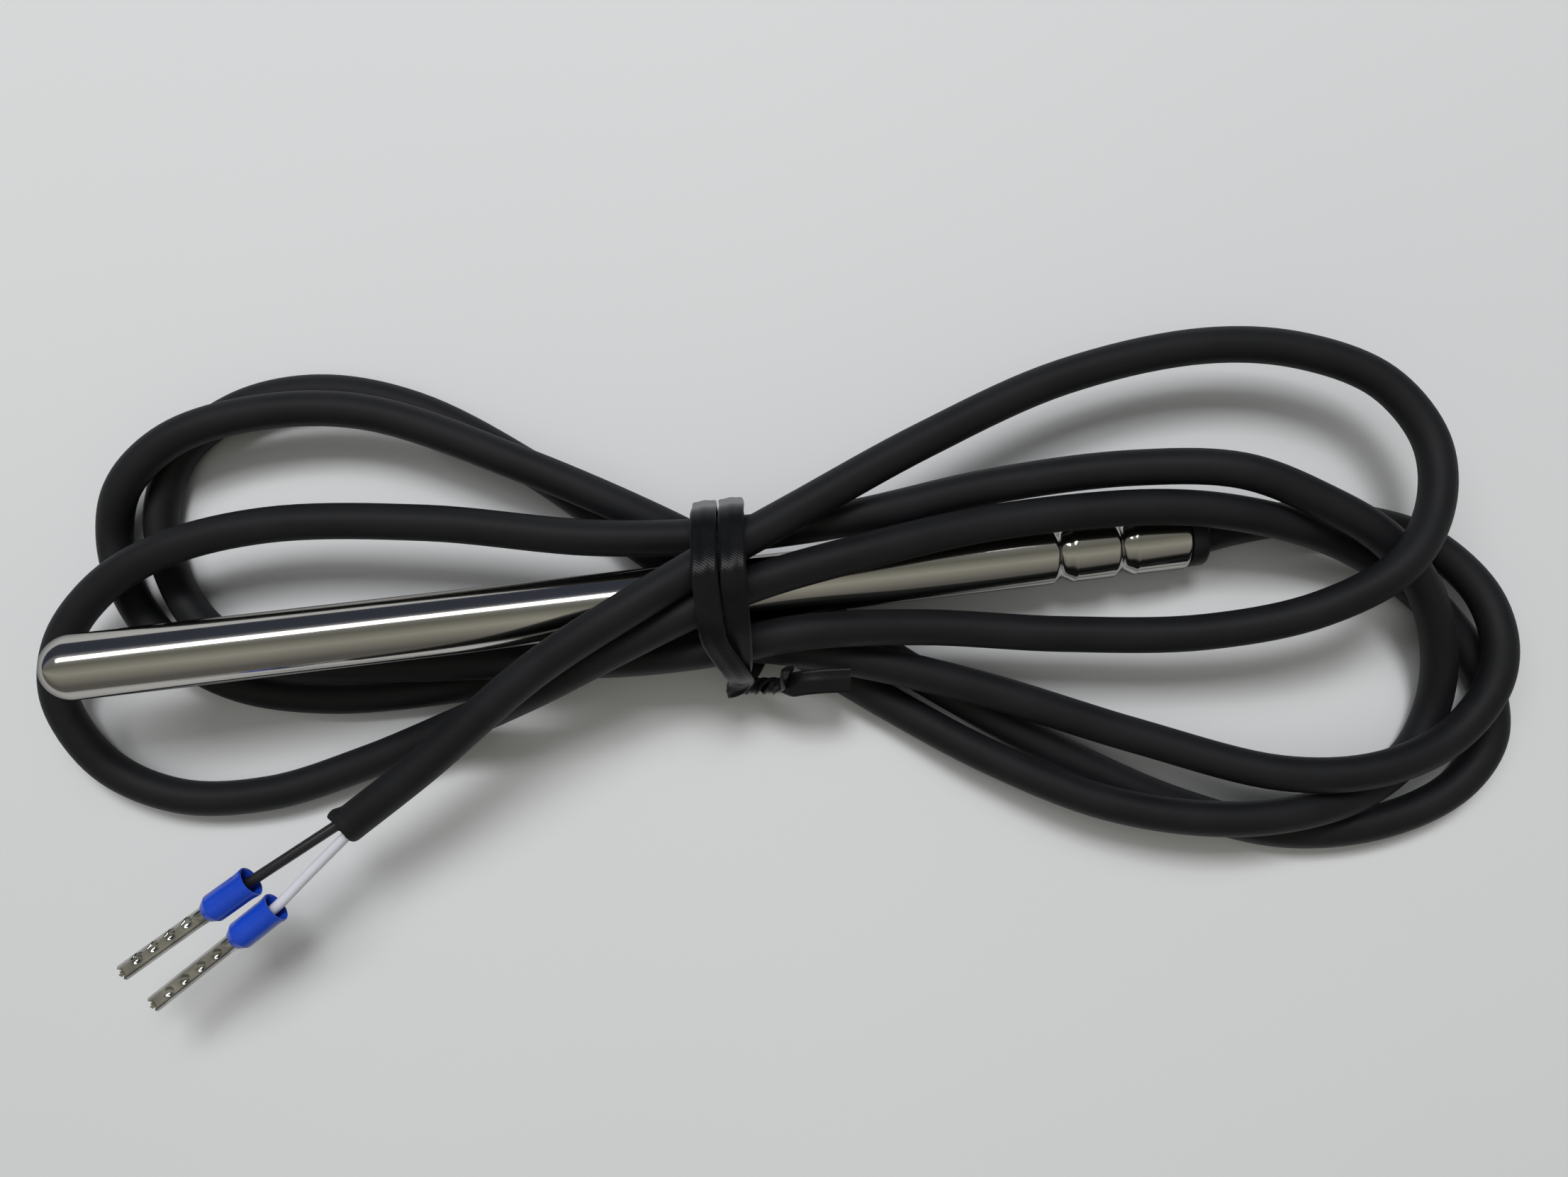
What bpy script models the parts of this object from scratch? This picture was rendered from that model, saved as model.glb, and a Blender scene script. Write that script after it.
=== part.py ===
# Temperature sensor: a round-tipped steel probe tube on a black cable, the cable
# tied in a hank, with two cores and bootlace ferrules at its free end.
# Metres, +Z up. The hank lies on the plane z = 0, the probe runs along X, its tip at -X.

import math

import bmesh
import bpy
from mathutils import Matrix, Quaternion, Vector

for thing in list(bpy.data.objects):
    bpy.data.objects.remove(thing, do_unlink=True)

# clearance between pieces that touch
GAP = 0.0003

# probe tube
TUBE_DIAMETER = 0.0060
TUBE_WALL = 0.0003
TUBE_LENGTH = 0.1060
TAIL_HEIGHT = 0.0039
TIP_HEIGHT = 0.0132
CABLE_DIAMETER = 0.0034
GROOVE_WIDTH = 0.0025
GROOVE_FROM_TAIL = 0.0061
GROOVE_SPACING = 0.0060
GROOVE_COUNT = 2
LIP_RADIUS = 0.0002

# rubber sleeve in the tail of the tube
SLEEVE_OUT = 0.0020
SLEEVE_RADIUS = 0.00285
SLEEVE_EDGE = 0.0005
SPIGOT_LENGTH = 0.0035

# inside the tube, distances measured from the tail towards the tip
JACKET_INSIDE = 0.0180
CORE_DIAMETER = 0.0010
CORE_SPREAD = 0.0011
POTTING_START = 0.0220
POTTING_LENGTH = 0.0060
SPLICE_LENGTH = 0.0050
SPLICE_DIAMETER = 0.0009
SPLICE_TO_FILL = 0.0060
SHRINK_WALL = 0.0002
SHRINK_OVER_CORE = 0.0015
SHRINK_OVER_LEAD = 0.0010
LEAD_DIAMETER = 0.0004
LEAD_BEND = 0.0030
BEAD_DIAMETER = 0.0024
BEAD_LENGTH = 0.0036
BEAD_TAIL_DIAMETER = 0.0013
BEAD_TO_TIP = 0.0022
TIP_FILL_LENGTH = 0.0140

# free end of the cable
STRAND_DIAMETER = 0.0006
STRAND_OUT = 0.0004
PIN_WALL = 0.00022
PIN_LENGTH = 0.0086
PIN_SEAT = 0.0020
PIN_NECK = 0.0009
PIN_FLAT = 0.00010
CRIMP_DEPTH = 0.00014
CRIMP_LENGTH = 0.0009
CRIMP_COUNT = 4
COLLAR_LENGTH = 0.0058
COLLAR_WALL = 0.00025
COLLAR_MOUTH_RADIUS = 0.00148
COLLAR_BODY_RADIUS = 0.00136
COLLAR_FLARE = 0.0008
COLLAR_TAPER = 0.0014
CORE_IN_COLLAR = 0.0024

# twist tie
TIE_WIDTH = 0.0023
TIE_THICKNESS = 0.0004
TIE_WIRE_HEIGHT = 0.0006
TIE_WIRE_WIDTH = 0.0009
TIE_TURN_GAP = 0.0002
TIE_START = 0.0096
TIE_LAP_STEPS = 44
LAP_START = 0.08
LAP_CROSS = 1.70
LAP_LIFTED = 1.77
LAP_END = 1.93
CROSS_SHIFT = 0.0022
START_SHIFT = 0.0008
START_EASE = 0.20
TIE_REACH = 0.0010
TIE_CLEAR = 0.00036
LOWER_BEND = 0.0022
LOWER_RUN = 0.0025
UPPER_RUN = 0.0020
UPPER_BEND = 0.0038
BEND_STEPS = 9
TWIST_SHARE = 0.58
TWIST_TURNS = 1.0
TWIST_STEPS = 12

RADIAL_STEPS = 32
PLUG_STEPS = 24
SMALL_STEPS = 16
SHARP_EDGE = math.radians(35)
PIN_SHARP_EDGE = math.radians(50)

# how far a cord runs on, turns or bulges before it needs another point
CABLE_STEP = 0.019
CABLE_TURN = math.radians(34)
CORE_STEP = 0.003
CORE_TURN = math.radians(12)
CORD_SAG = 0.0003

# the cable's way round the hank, in millimetres, read off the photograph by eye
CABLE_ROUTE = [
    # out of the sleeve and low round the outer right bend
    (57.3, 2.4, 2.7), (63.5, 2.6, 2.0), (70.7, 1.3, 1.9), (76.0, -1.2, 2.1),
    (80.0, -6.5, 3.6), (80.4, -11.4, 5.2), (79.0, -15.6, 5.6), (74.5, -19.8, 5.8),
    (67.0, -21.9, 6.7), (58.0, -21.3, 6.3), (45.0, -16.4, 4.8), (31.6, -10.5, 5.2),
    (22.0, -6.9, 5.6), (14.4, -4.5, 6.3), (9.5, -3.4, 6.0), (4.0, -2.9, 5.0),
    # under the probe's left half and up round the middle left loop
    (-4.5, -3.0, 3.8), (-18.9, -4.1, 2.0), (-33.0, -3.7, 1.8), (-42.0, -1.2, 1.8),
    (-48.2, 3.7, 1.8), (-51.1, 9.4, 1.9), (-51.4, 14.4, 2.4), (-48.8, 18.9, 4.6),
    (-43.5, 22.5, 5.6), (-35.8, 24.0, 5.8), (-25.0, 23.0, 5.8), (-10.2, 16.1, 5.8),
    (3.1, 8.4, 5.0),
    # beneath the probe on the table, round the second right bend and back over it
    (7.2, 5.5, 2.8), (11.2, 2.6, 2.70), (13.8, 0.7, 2.3), (25.4, -8.5, 1.9), (38.4, -17.8, 1.8),
    (49.0, -24.0, 1.8), (59.0, -27.7, 1.8), (68.8, -27.9, 1.8), (76.5, -25.2, 1.8),
    (80.2, -20.8, 1.8), (80.2, -15.0, 1.8), (77.6, -9.6, 1.8), (72.6, -4.2, 2.9),
    (65.8, 0.2, 5.1), (57.0, 3.4, 7.8), (48.4, 5.1, 8.5), (32.9, 5.4, 9.4),
    (19.4, 3.9, 11.7), (10.1, 2.3, 12.8), (3.6, 0.3, 13.0),
    # down the left side and round the outermost left loop
    (-2.0, -1.7, 12.5), (-10.6, -4.9, 10.0), (-20.1, -7.9, 4.5), (-30.0, -10.7, 2.2),
    (-39.5, -12.5, 1.8), (-48.5, -11.7, 1.8), (-55.0, -7.7, 2.3), (-57.7, -1.0, 4.0),
    (-56.0, 4.4, 5.6), (-51.3, 9.0, 6.8), (-44.6, 11.9, 7.7), (-34.5, 13.1, 8.2),
    (-19.3, 11.5, 9.0), (-4.0, 8.3, 9.4), (7.7, 7.2, 8.8),
    # along the upper side of the probe, over the right bend to the table
    (19.9, 7.4, 8.6), (33.6, 8.9, 7.5), (46.8, 9.0, 8.1), (56.5, 7.5, 9.2),
    (63.5, 3.9, 9.0), (69.4, -0.4, 8.3), (73.2, -5.6, 6.6), (75.0, -11.2, 4.4),
    (74.9, -16.6, 2.4), (72.4, -21.2, 2.0), (67.0, -24.2, 3.4), (60.0, -25.3, 5.4),
    (51.5, -25.0, 5.8), (41.4, -22.4, 5.0), (31.2, -17.1, 3.5), (21.7, -10.6, 2.0),
    (13.6, -4.3, 2.75), (10.4, -1.9, 2.8), (6.7, 1.0, 2.8),
    # under the probe to the inner left loop
    (0.5, 6.6, 2.7), (-10.3, 16.2, 1.9), (-21.0, 23.4, 1.8), (-30.0, 26.1, 1.8),
    (-38.0, 25.4, 1.8), (-44.2, 21.7, 1.8), (-46.9, 16.0, 1.8), (-46.4, 9.8, 1.9),
    (-43.2, 4.4, 3.2), (-36.8, 0.5, 4.4), (-26.2, -1.2, 4.8), (-12.0, -2.3, 6.4),
    (-3.0, -3.2, 7.8), (6.0, -3.2, 9.5),
    # the top strand, round the last right bend and back to the tie
    (14.1, -2.6, 9.6), (25.4, -3.5, 7.9), (38.6, -5.7, 7.5), (51.6, -7.0, 8.2),
    (62.0, -6.0, 9.9), (69.0, -2.8, 11.8), (73.2, 2.3, 10.5), (74.2, 8.3, 9.0),
    (70.9, 14.2, 8.2), (64.0, 18.0, 7.8), (54.9, 19.6, 7.8), (41.2, 18.2, 8.2),
    (27.2, 13.6, 9.9), (15.0, 8.5, 12.2), (7.7, 5.4, 13.6),
    # out of the tie to the cut end of the jacket
    (0.1, 1.9, 15.4), (-10.1, -3.1, 14.2), (-21.1, -10.4, 12.2), (-29.2, -15.3, 11.0),
]

# the two cores from the jacket's end to their ferrules
BLACK_ROUTE = [(-29.8, -15.0, 11.0), (-32.0, -16.1, 11.2), (-35.0, -17.6, 11.4), (-38.2, -19.2, 11.4)]
WHITE_ROUTE = [(-29.2, -16.1, 10.9), (-30.9, -17.4, 10.6), (-33.7, -19.6, 10.3), (-36.7, -22.0, 10.2)]
BLACK_FERRULE_AIM = (-12.4, -6.8, -0.3)
WHITE_FERRULE_AIM = (-12.4, -7.7, -0.2)

# the tie's two ends: twisted together from the first point to the second, then a long and a short tail
TWIST_FROM = (7.9, -7.3, 4.2)
TWIST_TO = (11.3, -7.5, 6.2)
UPPER_TURN = (6.7, -7.5, 6.1)
LOWER_TURN = (7.9, -7.5, 2.7)
LONG_TAIL = [(12.5, -7.5, 7.1), (13.8, -7.4, 7.8), (15.6, -7.4, 8.2), (18.2, -7.6, 8.2)]
SHORT_TAIL = [(11.9, -7.2, 7.7), (12.2, -6.5, 8.8), (12.5, -5.8, 9.5)]


def make_material(name, color, roughness, metallic=0.0):
    mat = bpy.data.materials.new(name)
    mat.use_nodes = True
    shader = mat.node_tree.nodes["Principled BSDF"]
    shader.inputs["Base Color"].default_value = (*color, 1.0)
    shader.inputs["Roughness"].default_value = roughness
    shader.inputs["Metallic"].default_value = metallic
    mat.diffuse_color = (*color, 1.0)
    return mat


steel = make_material("polished_steel", (0.62, 0.61, 0.58), 0.12, 1.0)
rubber = make_material("black_rubber", (0.020, 0.021, 0.024), 0.60)
jacket = make_material("cable_jacket", (0.018, 0.019, 0.022), 0.55)
black_pvc = make_material("black_core_insulation", (0.015, 0.015, 0.018), 0.45)
white_pvc = make_material("white_core_insulation", (0.78, 0.77, 0.82), 0.42)
blue_plastic = make_material("blue_collar", (0.010, 0.060, 0.52), 0.30)
tin = make_material("tinned_copper", (0.66, 0.65, 0.63), 0.28, 1.0)
epoxy = make_material("potting_resin", (0.10, 0.09, 0.08), 0.40)
bead_glaze = make_material("bead_glaze", (0.05, 0.04, 0.04), 0.30)
shrink = make_material("heat_shrink", (0.02, 0.02, 0.02), 0.50)
tie_plastic = make_material("tie_plastic", (0.022, 0.022, 0.025), 0.38)


def finish(name, bm, mat, parent, sharp=SHARP_EDGE):
    bmesh.ops.remove_doubles(bm, verts=bm.verts, dist=1e-7)
    bmesh.ops.recalc_face_normals(bm, faces=bm.faces)
    mesh = bpy.data.meshes.new(name)
    bm.to_mesh(mesh)
    bm.free()
    mesh.materials.append(mat)
    mesh.shade_smooth()
    mesh.set_sharp_from_angle(angle=sharp)
    obj = bpy.data.objects.new(name, mesh)
    bpy.context.collection.objects.link(obj)
    obj.parent = parent
    return obj


def turned(name, profile, mat, parent, steps=RADIAL_STEPS):
    """Revolve a profile of (along, radius) pairs about the local X axis."""
    bm = bmesh.new()
    verts = [bm.verts.new((along, 0.0, radius)) for along, radius in profile]
    edges = [bm.edges.new(pair) for pair in zip(verts, verts[1:])]
    if profile[0][1] > 0.0:
        edges.append(bm.edges.new((verts[-1], verts[0])))
    bmesh.ops.spin(bm, geom=verts + edges, cent=(0, 0, 0), axis=(1, 0, 0),
                   angle=2 * math.pi, steps=steps, use_duplicate=False)
    return finish(name, bm, mat, parent)


def smooth_curve(points, per_span=12):
    """Centripetal Catmull-Rom curve through the points."""
    pts = [Vector(p) for p in points]
    pts = [2 * pts[0] - pts[1]] + pts + [2 * pts[-1] - pts[-2]]
    out = []
    for p0, p1, p2, p3 in zip(pts, pts[1:], pts[2:], pts[3:]):
        t1 = (p1 - p0).length ** 0.5
        t2 = t1 + (p2 - p1).length ** 0.5
        t3 = t2 + (p3 - p2).length ** 0.5
        for k in range(per_span):
            t = t1 + (t2 - t1) * k / per_span
            a1 = p0.lerp(p1, t / t1)
            a2 = p1.lerp(p2, (t - t1) / (t2 - t1))
            a3 = p2.lerp(p3, (t - t2) / (t3 - t2))
            b1 = a1.lerp(a2, t / t2)
            b2 = a2.lerp(a3, (t - t1) / (t3 - t1))
            out.append(b1.lerp(b2, (t - t1) / (t2 - t1)))
    out.append(pts[-2])
    return out


def thin_out(points, max_step, max_turn):
    """Keep a point where the curve has run on, turned or bulged far enough."""
    kept = [points[0]]
    run = turn = 0.0
    for before, here, after in zip(points, points[1:], points[2:]):
        step = (after - here).length
        bend = (here - before).angle(after - here)
        run += (here - before).length
        sag = (run + step) * (turn + bend) / 8
        if run + step > max_step or turn + bend > max_turn or sag > CORD_SAG:
            kept.append(here)
            run = turn = 0.0
        turn += bend
    kept.append(points[-1])
    return kept


def cord(name, points, diameter, mat, parent):
    """A round cord with flat ends along the points."""
    data = bpy.data.curves.new(name, "CURVE")
    data.dimensions = "3D"
    data.bevel_depth = diameter / 2
    data.bevel_resolution = 2
    data.use_fill_caps = True
    data.render_resolution_u = 0
    spline = data.splines.new("POLY")
    spline.points.add(len(points) - 1)
    for slot, point in zip(spline.points, points):
        slot.co = (*point, 1.0)
    data.materials.append(mat)
    obj = bpy.data.objects.new(name, data)
    bpy.context.collection.objects.link(obj)
    obj.parent = parent


def ribbon(name, stations, mat, parent):
    """Sweep the tie's section along stations of (centre, width axis, normal, width share)."""
    half, ridge = TIE_WIDTH / 2, TIE_WIRE_WIDTH / 2
    flat, high = TIE_THICKNESS / 2, TIE_WIRE_HEIGHT / 2
    section = [(-half, -flat), (-ridge, -flat), (0, -high), (ridge, -flat), (half, -flat),
               (half, flat), (ridge, flat), (0, high), (-ridge, flat), (-half, flat)]
    bm = bmesh.new()
    rings = []
    for centre, wide, normal, share in stations:
        rings.append([bm.verts.new(centre + wide * (a * share) + normal * b) for a, b in section])
    for first, second in zip(rings, rings[1:]):
        for k in range(len(section)):
            n = (k + 1) % len(section)
            bm.faces.new((first[k], first[n], second[n], second[k]))
    bm.faces.new(rings[0][::-1])
    bm.faces.new(rings[-1])
    return finish(name, bm, mat, parent)


# everything hangs on one empty, which sets the origin under the middle of the probe and tie
sensor = bpy.data.objects.new("sensor", None)
bpy.context.collection.objects.link(sensor)

# the probe's own axis: local +X points from the tail to the tip
TAIL_X = 0.0516
TAIL_Y = 0.0020
probe = bpy.data.objects.new("probe_axis", None)
bpy.context.collection.objects.link(probe)
probe.parent = sensor
probe.location = (TAIL_X, TAIL_Y, TAIL_HEIGHT)
tilt = math.asin((TIP_HEIGHT - TAIL_HEIGHT) / TUBE_LENGTH)
probe.rotation_euler = (0.0, -tilt, math.pi)
to_sensor = Matrix.Translation(probe.location) @ probe.rotation_euler.to_matrix().to_4x4()

tube_radius = TUBE_DIAMETER / 2
bore_radius = tube_radius - TUBE_WALL
cable_radius = CABLE_DIAMETER / 2
groove_depth = bore_radius - cable_radius - GAP
tip_centre = TUBE_LENGTH - tube_radius


def grooved_radius(along, radius):
    """Wall radius at a distance from the tail, drawn in at each rolled groove."""
    for k in range(GROOVE_COUNT):
        off = abs(along - GROOVE_FROM_TAIL - k * GROOVE_SPACING)
        if off < GROOVE_WIDTH / 2:
            radius -= groove_depth * (0.5 + 0.5 * math.cos(math.pi * off / (GROOVE_WIDTH / 2))) ** 0.8
    return radius


groove_end = GROOVE_FROM_TAIL + (GROOVE_COUNT - 1) * GROOVE_SPACING + GROOVE_WIDTH / 2
groove_start = GROOVE_FROM_TAIL - GROOVE_WIDTH / 2
groove_marks = [groove_start + (groove_end - groove_start) * k / 28 for k in range(29)]
cap_turns = [math.radians(90 * k / 8) for k in range(9)]
outer = [(tip_centre + tube_radius * math.sin(a), tube_radius * math.cos(a)) for a in cap_turns]
inner = [(tip_centre + bore_radius * math.sin(a), bore_radius * math.cos(a)) for a in cap_turns]
outer[-1] = (TUBE_LENGTH, 0.0)
inner[-1] = (tip_centre + bore_radius, 0.0)
outer_wall = [(m, grooved_radius(m, tube_radius)) for m in groove_marks]
inner_wall = [(m, grooved_radius(m, bore_radius)) for m in groove_marks]
tube_lip = [(LIP_RADIUS / 2, tube_radius), (0.0, tube_radius - LIP_RADIUS / 2), (0.0, bore_radius)]
tube_profile = outer[::-1] + outer_wall[::-1] + tube_lip + inner_wall + inner
turned("probe_tube", tube_profile, steel, probe)

sleeve_bore = cable_radius + GAP
spigot_radius = bore_radius - GAP
sleeve_end = GAP + SLEEVE_OUT
turned("end_sleeve", [
    (-sleeve_end, sleeve_bore), (-sleeve_end, SLEEVE_RADIUS - SLEEVE_EDGE),
    (-sleeve_end + 0.3 * SLEEVE_EDGE, SLEEVE_RADIUS - 0.3 * SLEEVE_EDGE),
    (-sleeve_end + SLEEVE_EDGE, SLEEVE_RADIUS), (-GAP, SLEEVE_RADIUS),
    (-GAP, spigot_radius), (SPIGOT_LENGTH, spigot_radius), (SPIGOT_LENGTH, sleeve_bore),
], rubber, probe)

# resin round the cores behind the jacket's end, with two through bores
core_hole = CORE_DIAMETER / 2 + GAP


def bored_plug(name, start, length, radius, holes, hole_radius, mat):
    """A round plug along the probe with through holes at the given places."""
    bpy.ops.mesh.primitive_cylinder_add(vertices=PLUG_STEPS, radius=radius, depth=length)
    plug = bpy.context.object
    plug.name = name
    plug.data.name = name
    plug.data.materials.append(mat)
    plug.parent = probe
    plug.rotation_euler = (0.0, math.pi / 2, 0.0)
    plug.location = (start + length / 2, 0.0, 0.0)
    for number, (side, up) in enumerate(holes):
        bpy.ops.mesh.primitive_cylinder_add(vertices=SMALL_STEPS, radius=hole_radius, depth=length + 4 * GAP)
        drill = bpy.context.object
        drill.name = name + "_drill_" + str(number)
        drill.parent = probe
        drill.rotation_euler = (0.0, math.pi / 2, 0.0)
        drill.location = (start + length / 2, side, up)
        drill.hide_render = True
        drill.display_type = "WIRE"
        cut = plug.modifiers.new("hole_" + str(number), "BOOLEAN")
        cut.operation = "DIFFERENCE"
        cut.object = drill
    plug.data.shade_smooth()
    plug.data.set_sharp_from_angle(angle=SHARP_EDGE)


bored_plug("potting_plug", POTTING_START, POTTING_LENGTH, bore_radius - GAP,
           [(CORE_SPREAD, 0.0), (-CORE_SPREAD, 0.0)], core_hole, epoxy)

# resin in the round tip, open towards the tail round the bead
fill_radius = bore_radius - GAP
fill_start = TUBE_LENGTH - TUBE_WALL - GAP - TIP_FILL_LENGTH
cavity_radius = BEAD_DIAMETER / 2 + GAP
bead_front = TUBE_LENGTH - TUBE_WALL - BEAD_TO_TIP
cavity_end = bead_front + GAP
fill_tip = [(tip_centre + fill_radius * math.sin(a), fill_radius * math.cos(a)) for a in cap_turns]
fill_tip[-1] = (tip_centre + fill_radius, 0.0)
turned("tip_compound", [(cavity_end, 0.0), (cavity_end, cavity_radius), (fill_start, cavity_radius),
                        (fill_start, fill_radius)] + fill_tip, epoxy, probe, PLUG_STEPS)

# thermistor bead: a glazed drop with a blunt tail face where its leads start
bead_radius = BEAD_DIAMETER / 2
bead_back = bead_front - BEAD_LENGTH
bead_tail = BEAD_TAIL_DIAMETER / 2
bead_profile = [(bead_back, 0.0), (bead_back, bead_tail)]
for k in range(1, 8):
    share = k / 8
    swell = math.sin(math.pi * share ** 0.8) ** 0.6
    bead_profile.append((bead_back + BEAD_LENGTH * share,
                         bead_tail * (1 - share) + (bead_radius - bead_tail * (1 - share)) * swell))
bead_profile.append((bead_front, 0.0))
turned("thermistor_bead", bead_profile, bead_glaze, probe, SMALL_STEPS)

# leads, splices and cores, one of each on either side of the probe's axis
core_start = JACKET_INSIDE + GAP
splice_end = fill_start - SPLICE_TO_FILL
splice_start = splice_end - SPLICE_LENGTH
core_end = splice_start - GAP
lead_start = splice_end + GAP
lead_end = bead_back - GAP
lead_in = bead_tail - LEAD_DIAMETER / 2
shrink_bore = CORE_DIAMETER / 2 + 0.8 * GAP
core_bend = (POTTING_START - core_start) / 3
sides = {"black": 1.0, "white": -1.0}
core_mats = {"black": black_pvc, "white": white_pvc}
for tone, side in sides.items():
    across = side * CORE_SPREAD
    start_across = side * (CORE_DIAMETER / 2 + GAP / 2)
    inner_core = smooth_curve([
        (core_start, start_across, 0.0), (core_start + core_bend, start_across, 0.0),
        (POTTING_START, across, 0.0), (POTTING_START + POTTING_LENGTH, across, 0.0),
        ((POTTING_START + core_end) / 2, across, 0.0), (core_end, across, 0.0),
    ], 3)
    cord("inner_core_" + tone, inner_core, CORE_DIAMETER, core_mats[tone], probe)
    cord("splice_" + tone, [(splice_start, across, 0.0), (splice_end, across, 0.0)],
         SPLICE_DIAMETER, tin, probe)
    lead_run = smooth_curve([
        (lead_start, across, 0.0), (lead_start + LEAD_BEND / 2, across, 0.0),
        (lead_start + LEAD_BEND * 2, side * lead_in, 0.0), (lead_end, side * lead_in, 0.0),
    ], 5)
    cord("lead_" + tone, lead_run, LEAD_DIAMETER, tin, probe)
    shrink_from = splice_start - SHRINK_OVER_CORE
    shrink_to = splice_end + SHRINK_OVER_LEAD
    tube = turned("splice_shrink_" + tone, [
        (shrink_from, shrink_bore), (shrink_to, shrink_bore),
        (shrink_to, shrink_bore + SHRINK_WALL), (shrink_from, shrink_bore + SHRINK_WALL),
    ], shrink, probe, SMALL_STEPS)
    tube.location = (0.0, across, 0.0)

# the jacket: one tube from inside the probe to the cut end
jacket_start = to_sensor @ Vector((JACKET_INSIDE, 0.0, 0.0))
cable_exit = to_sensor @ Vector((-sleeve_end - GAP, 0.0, 0.0))
fine_route = smooth_curve([cable_exit] + [Vector(p) / 1000 for p in CABLE_ROUTE])
cable_points = [jacket_start] + thin_out(fine_route, CABLE_STEP, CABLE_TURN)
cord("cable", cable_points, CABLE_DIAMETER, jacket, sensor)

# the pressed pins of the ferrules
pin_bore = STRAND_DIAMETER / 2 + GAP
pin_radius = pin_bore + PIN_WALL
pin_start = COLLAR_LENGTH - PIN_SEAT
pin_end = COLLAR_LENGTH + PIN_LENGTH
crimp_start = COLLAR_LENGTH + PIN_NECK
crimp_pitch = (pin_end - crimp_start) / CRIMP_COUNT


def crimped_pin(name, parent):
    """A round tin sleeve pressed to a flat-sided bar, with a row of dents across its top and foot."""
    stations = [pin_start, COLLAR_LENGTH, crimp_start]
    for number in range(CRIMP_COUNT):
        middle = crimp_start + (number + 0.5) * crimp_pitch
        stations += [middle + CRIMP_LENGTH * off for off in (-0.5, -0.2, 0.2, 0.5)]
    stations.append(pin_end)
    bm = bmesh.new()
    outer_rings, inner_rings = [], []
    for along in stations:
        pressed = along >= crimp_start
        dent = 0.0
        if pressed and along < pin_end:
            off = abs(((along - crimp_start) / crimp_pitch) % 1.0 - 0.5) * crimp_pitch
            dent = CRIMP_DEPTH if off < 0.3 * CRIMP_LENGTH else 0.0
        outer_ring, inner_ring = [], []
        for k in range(SMALL_STEPS):
            turn = 2 * math.pi * (k + 0.5) / SMALL_STEPS
            side, up = math.cos(turn), math.sin(turn)
            y, z = pin_radius * side, pin_radius * up
            if pressed:
                flat = pin_radius - PIN_FLAT
                square = pin_radius / max(abs(side), abs(up))
                y = side * (0.45 * square + 0.55 * pin_radius)
                z = max(-flat, min(flat, up * (0.45 * square + 0.55 * pin_radius)))
                if abs(side) < 0.6:
                    z -= math.copysign(dent, z)
            outer_ring.append(bm.verts.new((along, y, z)))
            inner_ring.append(bm.verts.new((along, pin_bore * side, pin_bore * up)))
        outer_rings.append(outer_ring)
        inner_rings.append(inner_ring)
    walls = list(zip(outer_rings, outer_rings[1:])) + list(zip(inner_rings, inner_rings[1:]))
    walls += [(outer_rings[0], inner_rings[0]), (outer_rings[-1], inner_rings[-1])]
    for first, second in walls:
        for k in range(SMALL_STEPS):
            n = (k + 1) % SMALL_STEPS
            bm.faces.new((first[k], first[n], second[n], second[k]))
    finish(name, bm, tin, parent, PIN_SHARP_EDGE)


# the two cores outside, each ending in a ferrule
core_routes = {"black": BLACK_ROUTE, "white": WHITE_ROUTE}
ferrule_aims = {"black": BLACK_FERRULE_AIM, "white": WHITE_FERRULE_AIM}
for tone, core_route in core_routes.items():
    aim = Vector(ferrule_aims[tone]).normalized()
    core_points = [Vector(p) / 1000 for p in core_route]
    mouth = core_points[-1]
    inside = mouth + aim * CORE_IN_COLLAR
    cord("core_" + tone, thin_out(smooth_curve(core_points + [inside], 4), CORE_STEP, CORE_TURN),
         CORE_DIAMETER, core_mats[tone], sensor)
    ferrule = bpy.data.objects.new("ferrule_axis_" + tone, None)
    bpy.context.collection.objects.link(ferrule)
    ferrule.parent = sensor
    ferrule.location = mouth
    ferrule.rotation_euler = aim.to_track_quat("X", "Z").to_euler()

    collar_bore = pin_radius + GAP
    taper_at = COLLAR_LENGTH - COLLAR_TAPER
    turned("collar_" + tone, [
        (0.0, COLLAR_MOUTH_RADIUS - COLLAR_WALL), (0.0, COLLAR_MOUTH_RADIUS),
        (COLLAR_FLARE, COLLAR_BODY_RADIUS), (taper_at, COLLAR_BODY_RADIUS),
        (COLLAR_LENGTH - COLLAR_TAPER / 3, collar_bore + 0.8 * COLLAR_WALL),
        (COLLAR_LENGTH, collar_bore + 0.4 * COLLAR_WALL), (COLLAR_LENGTH, collar_bore),
        (pin_start - GAP, collar_bore), (pin_start - 2 * GAP, COLLAR_BODY_RADIUS - COLLAR_WALL),
        (COLLAR_FLARE, COLLAR_BODY_RADIUS - COLLAR_WALL),
    ], blue_plastic, ferrule, PLUG_STEPS)
    crimped_pin("pin_" + tone, ferrule)
    cord("strands_" + tone, [(CORE_IN_COLLAR + GAP, 0.0, 0.0), (pin_start, 0.0, 0.0),
                             (pin_end, 0.0, 0.0), (pin_end + STRAND_OUT, 0.0, 0.0)],
         STRAND_DIAMETER, tin, ferrule)


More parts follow.
